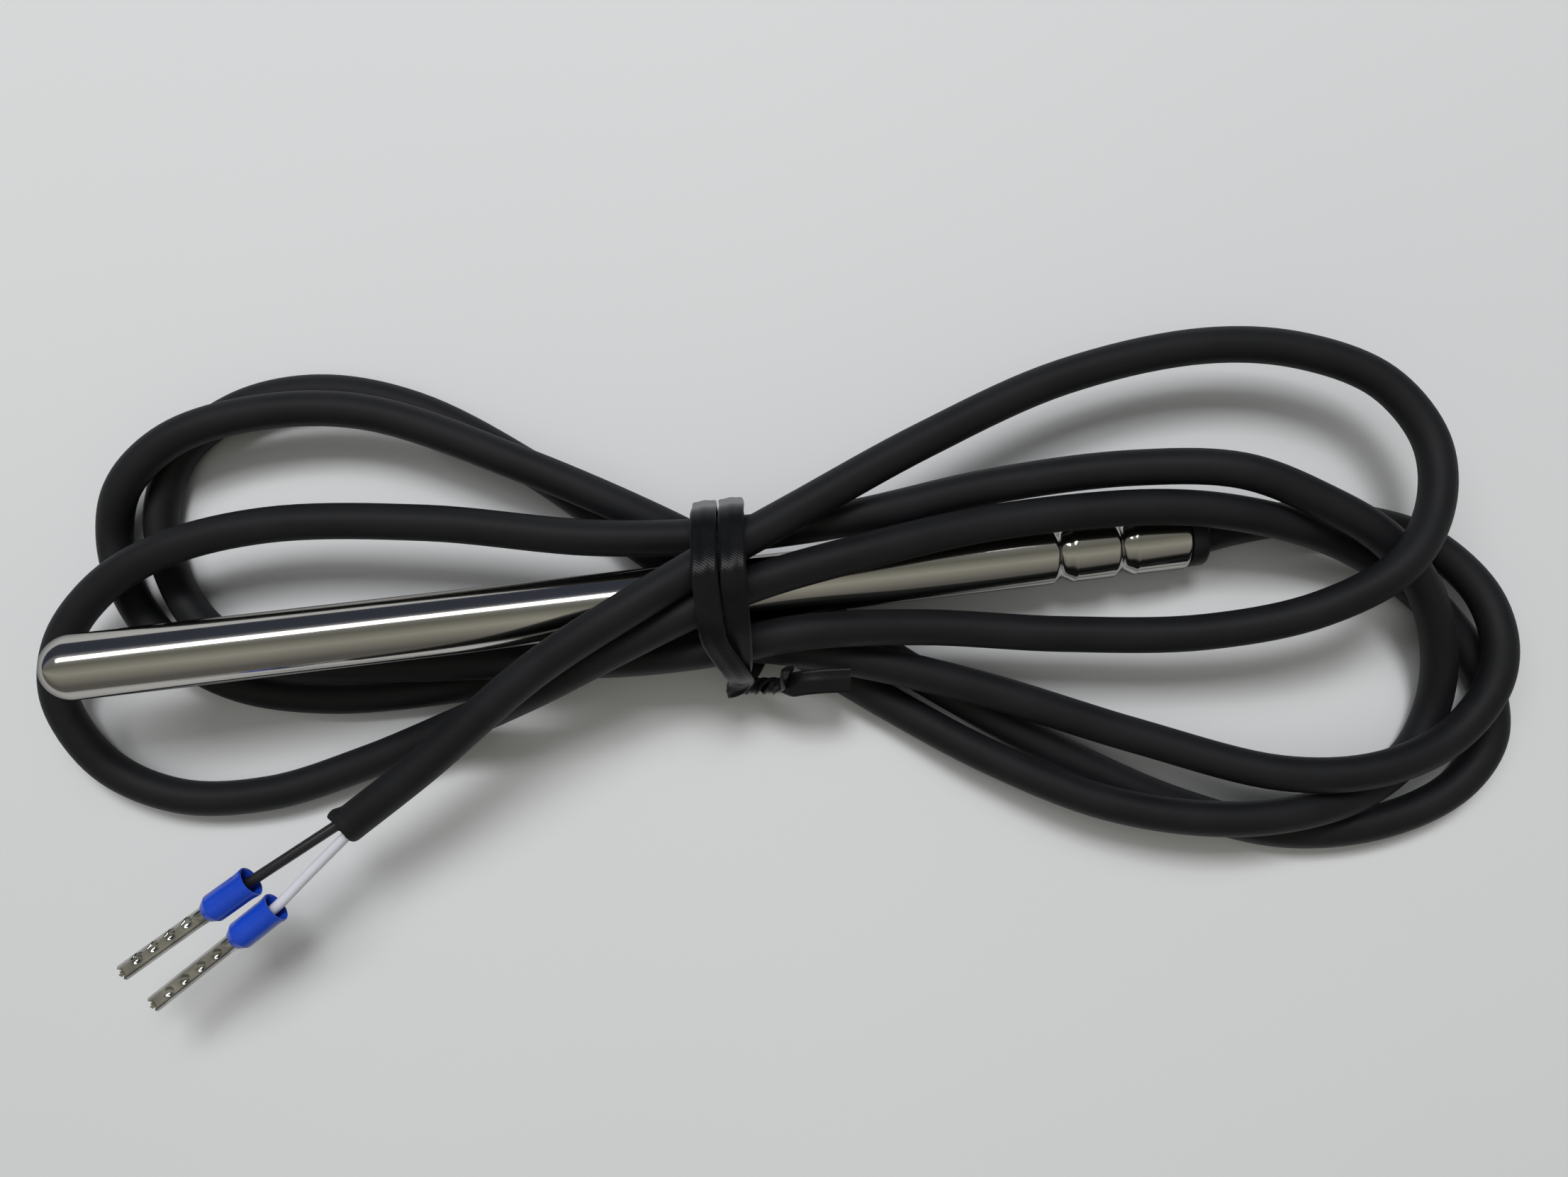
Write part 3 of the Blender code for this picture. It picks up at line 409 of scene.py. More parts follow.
# the cable: one jacket from inside the probe, round the hank to the cut end
cableLook = {"diameter": 3.4 * mm, "roundness": 8, "inside": 18.0 * mm, "exit": 2.6 * mm, "cut": 0.6 * mm,
             "perSpan": 9}
cableRoute = [  # the same points as in the solid model
    (57.3, 2.4, 2.7), (63.5, 2.6, 2.0), (70.7, 1.3, 1.9), (76.0, -1.2, 2.1),
    (80.0, -6.5, 3.6), (80.4, -11.4, 5.2), (79.0, -15.6, 5.6), (74.5, -19.8, 5.8),
    (67.0, -21.9, 6.7), (58.0, -21.3, 6.3), (45.0, -16.4, 4.8), (31.6, -10.5, 5.2),
    (22.0, -6.9, 5.6), (14.4, -4.5, 6.3), (9.5, -3.4, 6.0), (4.0, -2.9, 5.0),
    (-4.5, -3.0, 3.8), (-18.9, -4.1, 2.0), (-33.0, -3.7, 1.8), (-42.0, -1.2, 1.8),
    (-48.2, 3.7, 1.8), (-51.1, 9.4, 1.9), (-51.4, 14.4, 2.4), (-48.8, 18.9, 4.6),
    (-43.5, 22.5, 5.6), (-35.8, 24.0, 5.8), (-25.0, 23.0, 5.8), (-10.2, 16.1, 5.8),
    (3.1, 8.4, 5.0),
    (7.2, 5.5, 2.8), (11.2, 2.6, 2.70), (13.8, 0.7, 2.3), (25.4, -8.5, 1.9), (38.4, -17.8, 1.8),
    (49.0, -24.0, 1.8), (59.0, -27.7, 1.8), (68.8, -27.9, 1.8), (76.5, -25.2, 1.8),
    (80.2, -20.8, 1.8), (80.2, -15.0, 1.8), (77.6, -9.6, 1.8), (72.6, -4.2, 2.9),
    (65.8, 0.2, 5.1), (57.0, 3.4, 7.8), (48.4, 5.1, 8.5), (32.9, 5.4, 9.4),
    (19.4, 3.9, 11.7), (10.1, 2.3, 12.8), (3.6, 0.3, 13.0),
    (-2.0, -1.7, 12.5), (-10.6, -4.9, 10.0), (-20.1, -7.9, 4.5), (-30.0, -10.7, 2.2),
    (-39.5, -12.5, 1.8), (-48.5, -11.7, 1.8), (-55.0, -7.7, 2.3), (-57.7, -1.0, 4.0),
    (-56.0, 4.4, 5.6), (-51.3, 9.0, 6.8), (-44.6, 11.9, 7.7), (-34.5, 13.1, 8.2),
    (-19.3, 11.5, 9.0), (-4.0, 8.3, 9.4), (7.7, 7.2, 8.8),
    (19.9, 7.4, 8.6), (33.6, 8.9, 7.5), (46.8, 9.0, 8.1), (56.5, 7.5, 9.2),
    (63.5, 3.9, 9.0), (69.4, -0.4, 8.3), (73.2, -5.6, 6.6), (75.0, -11.2, 4.4),
    (74.9, -16.6, 2.4), (72.4, -21.2, 2.0), (67.0, -24.2, 3.4), (60.0, -25.3, 5.4),
    (51.5, -25.0, 5.8), (41.4, -22.4, 5.0), (31.2, -17.1, 3.5), (21.7, -10.6, 2.0),
    (13.6, -4.3, 2.75), (10.4, -1.9, 2.8), (6.7, 1.0, 2.8),
    (0.5, 6.6, 2.7), (-10.3, 16.2, 1.9), (-21.0, 23.4, 1.8), (-30.0, 26.1, 1.8),
    (-38.0, 25.4, 1.8), (-44.2, 21.7, 1.8), (-46.9, 16.0, 1.8), (-46.4, 9.8, 1.9),
    (-43.2, 4.4, 3.2), (-36.8, 0.5, 4.4), (-26.2, -1.2, 4.8), (-12.0, -2.3, 6.4),
    (-3.0, -3.2, 7.8), (6.0, -3.2, 9.5),
    (14.1, -2.6, 9.6), (25.4, -3.5, 7.9), (38.6, -5.7, 7.5), (51.6, -7.0, 8.2),
    (62.0, -6.0, 9.9), (69.0, -2.8, 11.8), (73.2, 2.3, 10.5), (74.2, 8.3, 9.0),
    (70.9, 14.2, 8.2), (64.0, 18.0, 7.8), (54.9, 19.6, 7.8), (41.2, 18.2, 8.2),
    (27.2, 13.6, 9.9), (15.0, 8.5, 12.2), (7.7, 5.4, 13.6),
    (0.1, 1.9, 15.4), (-10.1, -3.1, 14.2), (-21.1, -10.4, 12.2), (-29.2, -15.3, 11.0),
]

jacketMat, nodes, links, shader = newMaterial("cable_jacket")
grain = noiseOn(nodes, links, 1100.0, 4.0, 0.6)
blotch = noiseOn(nodes, links, 140.0)
tonesFrom(nodes, links, blotch, shader, (0.0040, 0.0042, 0.0052), (0.0075, 0.0078, 0.0095))
roughnessFrom(nodes, links, blotch, shader, 0.54, 0.66)
shader.inputs["Specular IOR Level"].default_value = 0.35
bumpFrom(nodes, links, grain, shader, 0.30, 0.05 * mm)

jacketStart = probeAxis @ Vector((cableLook["inside"], 0, 0))
cableExit = probeAxis @ Vector((-cableLook["exit"], 0, 0))
cablePath = [jacketStart] + smoothCurve([cableExit] + [hankPoint(p) for p in cableRoute], cableLook["perSpan"])
cutPlace = cablePath[-1]
endWay = (cablePath[-1] - cablePath[-2]).normalized()
cablePath[-1] = cutPlace - endWay * cableLook["cut"]
cable = curveCord("cable_jacket", [cablePath], cableLook["diameter"], jacketMat, cableLook["roundness"])
standFor(cable, "cable_jacket", "cable")

# the jacket's cut end, left a little ragged by the knife
lipLook = {
    "outer": 1.70 * mm, "inner": 1.22 * mm, "back": 1.1 * mm, "sides": 60, "smooth": 30,
    "nickDeep": 0.12 * mm, "nicks": (  # degrees round the end, half width in degrees, push in mm
        (20, 26, 0.08), (75, 14, -0.12), (150, 30, 0.06), (215, 22, 0.10), (262, 12, -0.12), (300, 26, 0.08)),
    "flapSide": (-0.62, 0.75, 0.25), "flapOut": 0.07 * mm, "flapOn": 0.09 * mm, "flapFrom": 1.25 * mm,
    "flapSteps": ((0.72, 0.7), (0.80, 0.5), (0.88, 0.3), (0.94, 0.2)),  # how near its side, mm from the end
}


def offTurn(co, turn):
    return abs((math.degrees(math.atan2(co.y, co.x)) - turn + 180) % 360 - 180)


lipFrame = Matrix.Translation(cutPlace) @ endWay.to_track_quat("Z", "Y").to_matrix().to_4x4()
outer, inner = lipLook["outer"], lipLook["inner"]
lipProfile = [(-lipLook["back"], inner), (-lipLook["back"], outer - 0.1 * mm), (-0.9 * mm, outer),
              (-0.65 * mm, outer), (-0.4 * mm, outer), (-0.15 * mm, outer - 0.01 * mm),
              (-0.03 * mm, outer - 0.05 * mm), (0.0, outer - 0.15 * mm), (0.0, inner + 0.08 * mm),
              (-0.1 * mm, inner), (-0.5 * mm, inner), (-lipLook["back"], inner)]
jacketLip = latheRings(lipProfile, lipLook["sides"])
makeActive(jacketLip)
for turn, wide, push in lipLook["nicks"]:
    if pickVerts(jacketLip, lambda co: co.z > -lipLook["nickDeep"] and offTurn(co, turn) < wide):
        bpy.ops.transform.translate(value=(0, 0, push * mm))
flapWay = lipFrame.to_3x3().inverted() @ Vector(lipLook["flapSide"])
flapWay.z = 0
flapWay.normalize()
for near, back in lipLook["flapSteps"]:  # a flap of jacket stands out at one side
    if pickVerts(jacketLip, lambda co: co.z > -back * mm and co.xy.normalized().dot(flapWay.xy) > near
                 and co.xy.length > lipLook["flapFrom"]):
        bpy.ops.transform.translate(value=(*(flapWay.xy * lipLook["flapOut"]), lipLook["flapOn"]))
finishPiece(jacketLip, "jacket_cut_lip", jacketMat, lipLook["smooth"])
placePiece(jacketLip, lipFrame, "cable_jacket")

# the two cores, and on each a ferrule: a blue collar and a pressed tin pin
coreLook = {
    "diameter": 1.0 * mm, "inCollar": 2.4 * mm, "roundness": 6, "perSpan": 8,
    "black": [(-29.8, -15.0, 11.0), (-32.0, -16.1, 11.2), (-35.0, -17.6, 11.4), (-38.2, -19.2, 11.4)],
    "white": [(-29.2, -16.1, 10.9), (-30.9, -17.4, 10.6), (-33.7, -19.6, 10.3), (-36.7, -22.0, 10.2)],
    "blackAim": (-12.4, -6.8, -0.3), "whiteAim": (-12.4, -7.7, -0.2),
}
blackMat = quickMaterial("black_core_pvc", (0.008, 0.008, 0.010), (0.016, 0.016, 0.019), roughness=0.35,
                         scale=500.0, bump=0.10)
whiteMat = quickMaterial("white_core_pvc", (0.52, 0.53, 0.60), (0.62, 0.63, 0.69), roughness=0.33,
                         scale=500.0, bump=0.10, extras=[("Subsurface Weight", 0.35),
                         ("Subsurface Radius", (0.9, 0.8, 1.0)), ("Subsurface Scale", 0.6 * mm)])
blueMat = quickMaterial("blue_collar_plastic", (0.004, 0.036, 0.37), (0.009, 0.060, 0.50), roughness=0.20,
                        scale=350.0, bump=0.12, extras=[("Subsurface Weight", 0.12),
                        ("Subsurface Radius", (0.2, 0.4, 1.0)), ("Subsurface Scale", 0.5 * mm)])
tinMat = quickMaterial("tinned_copper", (0.36, 0.355, 0.335), (0.62, 0.61, 0.575), roughness=0.15,
                       scale=1400.0, bump=0.20, depth=0.02 * mm, extras=[("Metallic", 1.0)])
strandMat = quickMaterial("tinned_strands", (0.52, 0.46, 0.38), (0.72, 0.67, 0.58), roughness=0.30,
                          scale=1400.0, bump=0.20, depth=0.02 * mm, extras=[("Metallic", 1.0)])

ferruleLook = {
    "collar": 5.0 * mm, "wall": 0.25 * mm, "mouth": 1.48 * mm, "body": 1.40 * mm, "flare": 0.8 * mm,
    "taper": 0.75 * mm, "collarSides": 64, "collarSmooth": 35, "gap": 0.05 * mm,
    "pinBore": 0.60 * mm, "pinRadius": 0.82 * mm, "pinSeat": 2.0 * mm, "pinOut": 9.4 * mm,
    "pinSteps": 84, "pinSides": 56, "pinSmooth": 38,
    "neck": 0.7 * mm, "flats": ((0, 0.72 * mm), (1, 0.77 * mm)), "flatten": 0.08,  # flats: axis, half height
    "dents": 4, "firstDent": 1.65 * mm, "dentPitch": 1.88 * mm, "dentLength": 0.75,
    "dentRings": ((0.40, 0.05), (0.31, 0.07), (0.22, 0.06), (0.12, 0.04)),  # reach and push in mm
    "forkDeep": 0.3 * mm, "forkSteps": ((0.46, 0.18), (0.34, 0.22), (0.20, 0.24)),  # half width and cut in mm
    "blackDentSide": -0.26 * mm, "whiteDentSide": 0.0,
}
strandLook = {"diameter": 0.2 * mm, "roundness": 2, "count": 7, "ring": 0.2 * mm, "turnFrom": 12, "lay": 0.35,
              "steps": 11, "from": 0.3 * mm, "short": 2.32 * mm, "uneven": 0.06 * mm, "shortest": 0.18 * mm}


def ferruleCollar(f):
    inner = f["body"] - f["wall"]
    bore = f["pinRadius"] + f["gap"]
    seat = f["collar"] - f["pinSeat"]
    shoulder = f["collar"] - f["taper"]
    return latheRings([
        (0.0, f["mouth"] - 0.5 * f["wall"]), (0.0, f["mouth"] - 0.2 * f["wall"]), (0.06 * mm, f["mouth"]),
        (0.25 * mm, f["mouth"]), (0.55 * f["flare"], f["mouth"] - 0.03 * mm),
        (f["flare"], f["body"] + 0.01 * mm), (1.3 * f["flare"], f["body"]), (3.0 * mm, f["body"]),
        (shoulder - 0.08 * mm, f["body"]), (shoulder + 0.03 * mm, f["body"] - 0.02 * mm),
        (shoulder + 0.12 * mm, f["body"] - 0.08 * mm), (f["collar"] - 0.08 * mm, bore + 0.14 * mm),
        (f["collar"] - 0.01 * mm, bore + 0.09 * mm), (f["collar"], bore + 0.04 * mm), (f["collar"], bore),
        (seat - 0.2 * mm, bore), (seat - 0.5 * mm, inner), (f["flare"], inner),
        (0.2 * mm, f["mouth"] - f["wall"]), (0.0, f["mouth"] - 0.5 * f["wall"]),
    ], f["collarSides"])


def ferrulePin(f, dentSide):
    seat = f["collar"] - f["pinSeat"]
    pinEnd = f["collar"] + f["pinOut"]
    marks = evenly(seat, pinEnd, f["pinSteps"])
    profile = ([(seat, f["pinBore"])] + [(mark, f["pinRadius"]) for mark in marks]
               + [(mark, f["pinBore"]) for mark in marks[::-6]])
    pin = latheRings(profile, f["pinSides"])
    makeActive(pin)
    for axis, flat in f["flats"]:
        for side in (1, -1):
            pickVerts(pin, lambda co: co.z > f["collar"] + f["neck"] and side * co[axis] > flat - 0.07 * mm
                      and co.xy.length > 0.7 * mm)
            squash = [1, 1, 1]
            centre = [0, 0, 0]
            squash[axis] = f["flatten"]
            centre[axis] = side * flat
            bpy.ops.transform.resize(value=squash, center_override=centre)
    for number in range(f["dents"]):
        dentAt = f["collar"] + f["firstDent"] + number * f["dentPitch"]
        for side, across in ((-1, dentSide), (1, 0.0)):
            for reach, push in f["dentRings"]:
                if pickVerts(pin, lambda co: side * co.x > 0.4 * mm and co.xy.length > 0.5 * mm
                             and math.hypot(f["dentLength"] * (co.z - dentAt), co.y - across) < reach * mm):
                    bpy.ops.transform.translate(value=(-side * push * mm, 0, 0))
    for reach, cut in f["forkSteps"]:  # the end splits like a fork
        pickVerts(pin, lambda co: co.z > pinEnd - f["forkDeep"] and abs(co.y) < reach * mm)
        bpy.ops.transform.translate(value=(0, 0, -cut * mm))
    return pin


def strandRoute(number, frameOf, reach):  # one wire round a middle one, cut a little unevenly
    s = strandLook
    ring = 0.0 if number == s["count"] - 1 else s["ring"]
    route = []
    for k in range(s["steps"] + 1):
        spin = math.radians(60 * number + s["turnFrom"]) + s["lay"] * k
        along = coreLook["inCollar"] + s["from"] + (reach - s["short"]) * k / s["steps"]
        if k == s["steps"]:
            along += min(s["uneven"] * number - s["shortest"], 0.0)
        route.append(frameOf @ Vector((ring * math.cos(spin), ring * math.sin(spin), along)))
    return route


ferrulePieces = []
for coreTone, coreMat in (("black", blackMat), ("white", whiteMat)):
    aim = Vector(coreLook[coreTone + "Aim"]).normalized()
    corePoints = [hankPoint(p) for p in coreLook[coreTone]]
    corePath = smoothCurve(corePoints + [corePoints[-1] + aim * coreLook["inCollar"]], coreLook["perSpan"])
    core = curveCord("core_" + coreTone + "_fine", [corePath], coreLook["diameter"], coreMat,
                     coreLook["roundness"])
    standFor(core, coreTone + "_core", "core_" + coreTone)
    ferruleAxis = (Matrix.Translation(corePoints[-1]) @ aim.to_track_quat("X", "Z").to_matrix().to_4x4()
                   @ upToAlong)
    collar = ferruleCollar(ferruleLook)
    finishPiece(collar, "collar_" + coreTone + "_fine", blueMat, ferruleLook["collarSmooth"])
    placePiece(collar, ferruleAxis, "blue_collar", "collar_" + coreTone)
    pin = ferrulePin(ferruleLook, ferruleLook[coreTone + "DentSide"])
    finishPiece(pin, "pin_" + coreTone + "_fine", tinMat, ferruleLook["pinSmooth"])
    placePiece(pin, ferruleAxis, "tinned_copper", "pin_" + coreTone)
    routes = [strandRoute(number, ferruleAxis, ferruleLook["collar"] + ferruleLook["pinOut"])
              for number in range(strandLook["count"])]
    strands = curveCord("strands_" + coreTone + "_fine", routes, strandLook["diameter"], strandMat,
                        strandLook["roundness"])
    standFor(strands, "tinned_copper", "strands_" + coreTone)
    ferrulePieces += [core, collar, pin, strands]
print("stage: cores and ferrules")

# the twist tie: a flat plastic strip with a wire inside, two laps round the strands and a twist
tieLook = {
    "width": 2.3 * mm, "thick": 0.4 * mm, "wireHigh": 0.6 * mm, "wireWide": 0.45 * mm, "turnGap": 0.2 * mm,
    "start": 9.6 * mm, "lapStart": 0.08, "lapCross": 1.70, "lapLifted": 1.77, "lapEnd": 1.93,
    "crossShift": 2.2 * mm, "startShift": 0.3 * mm, "startEase": 0.20, "reach": 1.0 * mm, "clear": 0.36 * mm,
    "lapSteps": 132, "twistShare": 0.58, "twistTurns": 1.0, "twistSteps": 36, "bendSteps": 26,
    "lowerBend": 2.2 * mm, "lowerRun": 2.5 * mm, "upperRun": 2.0 * mm, "upperBend": 3.8 * mm,
    "twistFrom": (7.9, -7.3, 4.2), "twistTo": (11.3, -7.5, 6.2),
    "upperTurn": (6.7, -7.5, 6.1), "lowerTurn": (7.9, -7.5, 2.7),
    "lean": 0.9 * mm, "leanHeight": 14 * mm,  # the laps stand further right at the top
    "soft": 3,  # steps to each side over which the strip rounds a corner
    "circleSteps": 60, "cordSteps": 4, "tailSteps": 9, "tailTurns": 12,  # points over which the tail turns
    "ribScale": 1.5, "ribSlant": 32,  # a rib each 0.2 mm, degrees
    "edgeFrom": 0.86, "edgeThin": 0.55, "sectionSteps": 16, "smooth": 50,
    "longTail": [(12.5, -7.5, 7.1), (13.8, -7.4, 7.8), (15.6, -7.4, 8.2), (18.2, -7.6, 8.2)],
    "shortTail": [(11.9, -7.2, 7.7), (12.2, -6.5, 8.8), (12.5, -5.8, 9.5)],
}


def ease(share):
    return share * share * (3 - 2 * share)


def strandsOutline(low, high, reach, steps):  # the hull of all strands between two stations, as even points
    turns = [2 * math.pi * n / tieLook["circleSteps"] for n in range(tieLook["circleSteps"])]
    circle = [(reach * math.cos(a), reach * math.sin(a)) for a in turns]
    cloud = []
    for a, b in zip(cablePath, cablePath[1:]):
        for k in range(tieLook["cordSteps"]):
            p = a.lerp(b, k / tieLook["cordSteps"]) - hankShift
            if low <= p.x <= high:
                cloud += [(p.y + y, p.z + z) for y, z in circle]
    cloud.sort()
    hull = []
    for order in (cloud, cloud[::-1]):
        chain = []
        for p in order:
            while len(chain) > 1 and ((chain[-1][0] - chain[-2][0]) * (p[1] - chain[-2][1])
                                      - (chain[-1][1] - chain[-2][1]) * (p[0] - chain[-2][0])) <= 0:
                chain.pop()
            chain.append(p)
        hull += chain[:-1]
    spans = [math.dist(a, b) for a, b in zip(hull, hull[1:] + hull[:1])]
    even = []
    for k in range(steps):
        left = sum(spans) * k / steps
        n = 0
        while left > spans[n]:
            left -= spans[n]
            n += 1
        even.append(Vector(hull[n]).lerp(Vector(hull[(n + 1) % len(hull)]), left / spans[n]))
    near = range(-tieLook["soft"], tieLook["soft"] + 1)
    return [sum((even[(k + n) % steps] for n in near), Vector((0, 0))) / len(near) for k in range(steps)]


tiePitch = tieLook["width"] + tieLook["turnGap"]
wireHalf = tieLook["wireHigh"] / 2
lapSteps = tieLook["lapSteps"]
twistFrom = Vector(tieLook["twistFrom"]) * mm
twistTo = Vector(tieLook["twistTo"]) * mm
tieReach = tieLook["width"] / 2 + tieLook["reach"]
outline = strandsOutline(tieLook["start"] - tiePitch * tieLook["lapCross"] - tieReach,
                         tieLook["start"] + tieReach,
                         cableLook["diameter"] / 2 + tieLook["clear"] + wireHalf, lapSteps)
front = min(range(lapSteps), key=lambda k: math.dist(outline[k], twistFrom.yz))
outline = outline[front:] + outline[:front]


def onOutline(lap, alongX, lift):
    at = (lap % 1.0) * lapSteps
    k = int(at) % lapSteps
    place = outline[k].lerp(outline[(k + 1) % lapSteps], at - int(at))
    way = (outline[(k + tieLook["soft"]) % lapSteps] - outline[k - tieLook["soft"]]).normalized()
    place = place + Vector((way.y, -way.x)) * lift
    return Vector((alongX, place.x, place.y))


laps = []
lapCount = int(lapSteps * (tieLook["lapEnd"] - tieLook["lapStart"]))
for k in range(lapCount + 1):
    lap = tieLook["lapStart"] + (tieLook["lapEnd"] - tieLook["lapStart"]) * k / lapCount
    lifting = min(max((lap - tieLook["lapCross"]) / (tieLook["lapLifted"] - tieLook["lapCross"]), 0.0), 1.0)
    crossing = max((lap - tieLook["lapLifted"]) / (tieLook["lapEnd"] - tieLook["lapLifted"]), 0.0)
    starting = max(1.0 - (lap - tieLook["lapStart"]) / tieLook["startEase"], 0.0)
    alongX = (tieLook["start"] - tiePitch * min(lap, tieLook["lapCross"])
              + tieLook["startShift"] * ease(starting) + tieLook["crossShift"] * ease(crossing))
    place = onOutline(lap, alongX, (tieLook["wireHigh"] + tieLook["turnGap"]) * ease(lifting))
    place.x += tieLook["lean"] * ease(min(max(place.z / tieLook["leanHeight"], 0.0), 1.0))
    laps.append(place)

twistAxis = (twistTo - twistFrom).normalized()
twistUp = (Vector((0, 0, 1)) - twistAxis * twistAxis.z).normalized()
twistSide = twistUp.cross(twistAxis)


def twistPlace(step, hand):  # one of two plates back to back, which turn together about the twist's axis
    turn = 2 * math.pi * tieLook["twistTurns"] * step / tieLook["twistSteps"]
    normal = twistUp * math.cos(turn) + twistSide * math.sin(turn)
    centre = twistFrom.lerp(twistTo, step / tieLook["twistSteps"])
    return centre + normal * (hand * (wireHalf + tieLook["turnGap"] / 2)), twistAxis.cross(normal)


def easedPath(start, end, startWay, endWay, reach):
    made = []
    for k in range(1, tieLook["bendSteps"]):
        t = k / tieLook["bendSteps"]
        made.append(start * (2 * t**3 - 3 * t**2 + 1) + startWay * (reach * (t**3 - 2 * t**2 + t))
                    + end * (3 * t**2 - 2 * t**3) + endWay * (reach * (t**3 - t**2)))
    return made


tiePath, wantedAxes, widthShares, heldWays = [], {}, {}, {}


def layTie(points, axes=None, width=1.0, way=None):
    for number, point in enumerate(points):
        if way is not None:
            heldWays[len(tiePath)] = way
        if axes is not None and axes[number] is not None:
            wantedAxes[len(tiePath)] = axes[number]
            widthShares[len(tiePath)] = width
        tiePath.append(point)


lower = [twistPlace(tieLook["twistSteps"] - k, -1.0) for k in range(tieLook["twistSteps"] + 1)]
upper = [twistPlace(k, 1.0) for k in range(tieLook["twistSteps"] + 1)]
longTail = [Vector(p) * mm for p in tieLook["longTail"]]
shortTail = [Vector(p) * mm for p in tieLook["shortTail"]]
longRun = smoothCurve([lower[0][0]] + longTail, tieLook["tailSteps"])[:0:-1]
shortRun = smoothCurve([upper[-1][0]] + shortTail, tieLook["tailSteps"])[1:]
upperTurn = Vector(tieLook["upperTurn"]) * mm
lowerTurn = Vector(tieLook["lowerTurn"]) * mm
down = Vector((0, 0, -1))
downRight = Vector((0.35, 0, -1)).normalized()
acrossTail = Vector((0, 1, 0))
acrossShortEnd = Vector((0.0, 0.6, 0.8))
tailHeld = (0, len(longRun) - tieLook["tailTurns"])
layTie(longRun, [acrossTail if k in tailHeld else None for k in range(len(longRun))])
layTie([p for p, axis in lower], [axis for p, axis in lower], tieLook["twistShare"], -twistAxis)
layTie(easedPath(lower[-1][0], lowerTurn, -twistAxis, downRight, tieLook["lowerBend"]))
layTie([lowerTurn], [acrossTail], tieLook["twistShare"])
layTie(easedPath(lowerTurn, laps[0], downRight, (laps[1] - laps[0]).normalized(), tieLook["lowerRun"]))
layTie(laps, [Vector((1, 0, 0))] * len(laps))
layTie(easedPath(laps[-1], upperTurn, (laps[-1] - laps[-2]).normalized(), down, tieLook["upperRun"]))
layTie([upperTurn], [acrossTail], tieLook["twistShare"])
layTie(easedPath(upperTurn, upper[0][0], down, twistAxis, tieLook["upperBend"]))
layTie([p for p, axis in upper], [axis for p, axis in upper], tieLook["twistShare"], twistAxis)
layTie(shortRun, [None] * (len(shortRun) - 1) + [acrossShortEnd], tieLook["twistShare"])

ways = [(b - a).normalized() for a, b in zip(tiePath, tiePath[1:])]
ways = [ways[0]] + [(a + b).normalized() for a, b in zip(ways, ways[1:])] + [ways[-1]]
for number, way in heldWays.items():
    ways[number] = way
carried = [ways[0].orthogonal().normalized()]
for before, way in zip(ways, ways[1:]):
    axis = before.rotation_difference(way) @ carried[-1]
    carried.append((axis - way * axis.dot(way)).normalized())
keys = []
for number in sorted(wantedAxes):
    way = ways[number]
    aim = (wantedAxes[number] - way * wantedAxes[number].dot(way)).normalized()
    angle = math.atan2(way.dot(carried[number].cross(aim)), carried[number].dot(aim))
    if keys:
        angle -= math.pi * round((angle - keys[-1][1]) / math.pi)
    keys.append((number, angle))
tieStations = []
for (low, lowAngle), (high, highAngle) in zip(keys, keys[1:]):
    lastSpan = high == keys[-1][0]
    for number in range(low, high + 1 if lastSpan else high):
        share = ease((number - low) / (high - low))
        wide = Quaternion(ways[number], lowAngle + (highAngle - lowAngle) * share) @ carried[number]
        tieStations.append((tiePath[number] + hankShift, wide, wide.cross(ways[number]),
                            widthShares[low] + (widthShares[high] - widthShares[low]) * share))

half, flat = tieLook["width"] / 2, tieLook["thick"] / 2
topSide = []
for u in evenly(-1, 1, tieLook["sectionSteps"]):
    swell = math.exp(-(u * half / tieLook["wireWide"]) ** 2)  # over the wire
    edge = 1 - tieLook["edgeThin"] * max(0.0, (abs(u) - tieLook["edgeFrom"]) / (1 - tieLook["edgeFrom"])) ** 2
    topSide.append((u * half, (flat + (wireHalf - flat) * swell) * edge))
section = topSide + [(a, -b) for a, b in topSide[::-1]]
tieVerts, tieFaces, tieUvs = [], [], []
run = 0.0
runs = []
for number, (centre, wide, normal, width) in enumerate(tieStations):
    if number:
        run += (centre - tieStations[number - 1][0]).length
    runs.append(run)
    tieVerts += [centre + wide * (a * width) + normal * b for a, b in section]
count = len(section)
for number in range(len(tieStations) - 1):
    base, following = number * count, (number + 1) * count
    for k in range(count):
        n = (k + 1) % count
        tieFaces.append((base + k, base + n, following + n, following + k))
        acrossK, acrossN = section[k][0] / mm, section[n][0] / mm
        here, there = runs[number] / mm, runs[number + 1] / mm
        tieUvs += [(acrossK, here), (acrossN, here), (acrossN, there), (acrossK, there)]
for ends in (range(count - 1, -1, -1), range((len(tieStations) - 1) * count, len(tieStations) * count)):
    tieFaces.append(tuple(ends))
    tieUvs += [(0.0, 0.0)] * count
tieMesh = bpy.data.meshes.new("twist_tie")
tieMesh.from_pydata(tieVerts, [], tieFaces)
uvLayer = tieMesh.uv_layers.new(name="strip")
for loop, uv in zip(uvLayer.data, tieUvs):
    loop.uv = uv
twistTie = bpy.data.objects.new("twist_tie", tieMesh)
scene.collection.objects.link(twistTie)

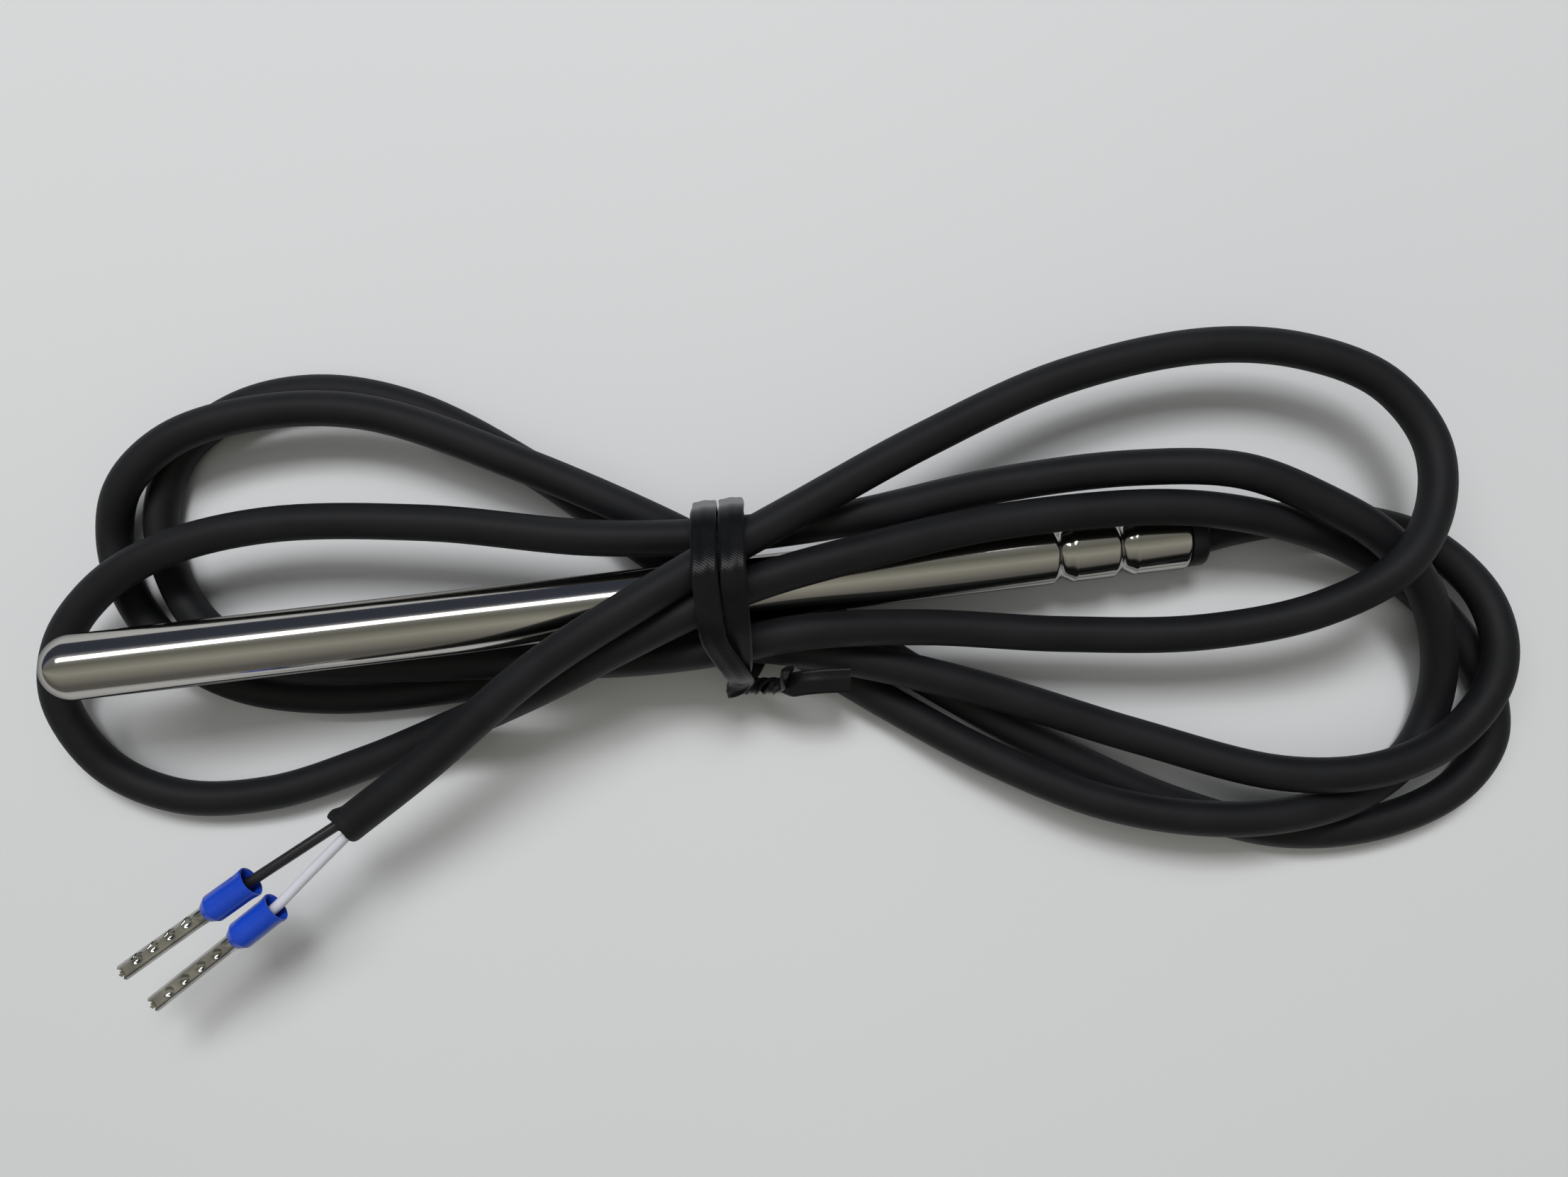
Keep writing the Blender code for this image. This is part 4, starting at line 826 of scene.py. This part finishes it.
tieMat, nodes, links, shader = newMaterial("twist_tie_plastic")
stripUv = nodes.new("ShaderNodeUVMap")
stripUv.uv_map = "strip"
slant = nodes.new("ShaderNodeMapping")
slant.inputs["Rotation"].default_value = (0, 0, math.radians(tieLook["ribSlant"]))
links.new(stripUv.outputs["UV"], slant.inputs["Vector"])
ribs = nodes.new("ShaderNodeTexWave")
ribs.bands_direction = "Y"
ribs.inputs["Scale"].default_value = tieLook["ribScale"]
ribs.inputs["Distortion"].default_value = 0.6
ribs.inputs["Detail"].default_value = 1.0
ribs.inputs["Detail Scale"].default_value = 1.5
links.new(slant.outputs["Vector"], ribs.inputs["Vector"])
cloud = noiseOn(nodes, links, 260.0)
tonesFrom(nodes, links, cloud, shader, (0.0035, 0.0037, 0.0044), (0.0070, 0.0074, 0.0086))
roughnessFrom(nodes, links, cloud, shader, 0.24, 0.34)
shader.inputs["Specular IOR Level"].default_value = 0.22
bumpFrom(nodes, links, ribs, shader, 0.35, 0.02 * mm)
finishPiece(twistTie, "twist_tie", tieMat, tieLook["smooth"])
standFor(twistTie, "tie_plastic", "tie_ribbon")
print("stage: twist tie")

# what is inside the tube keeps its solid shape and gets its finish here
resinMat = quickMaterial("potting_resin", (0.075, 0.068, 0.060), (0.12, 0.11, 0.095), roughness=0.35,
                         scale=300.0)
glazeMat = quickMaterial("bead_glaze", (0.035, 0.028, 0.026), (0.060, 0.048, 0.042), roughness=0.18,
                         scale=600.0)
shrinkMat = quickMaterial("heat_shrink", (0.014, 0.014, 0.015), (0.026, 0.026, 0.028), roughness=0.45,
                          scale=500.0)
insideMats = {
    "potting_plug": resinMat, "tip_compound": resinMat, "thermistor_bead": glazeMat,
    "splice_shrink_black": shrinkMat, "splice_shrink_white": shrinkMat,
    "lead_black": strandMat, "lead_white": strandMat, "splice_black": tinMat, "splice_white": tinMat,
    "inner_core_black": blackMat, "inner_core_white": whiteMat,
}
for nodeName, mat in insideMats.items():
    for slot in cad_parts[nodeName].material_slots:
        slot.material = mat
print("stage: inside pieces")
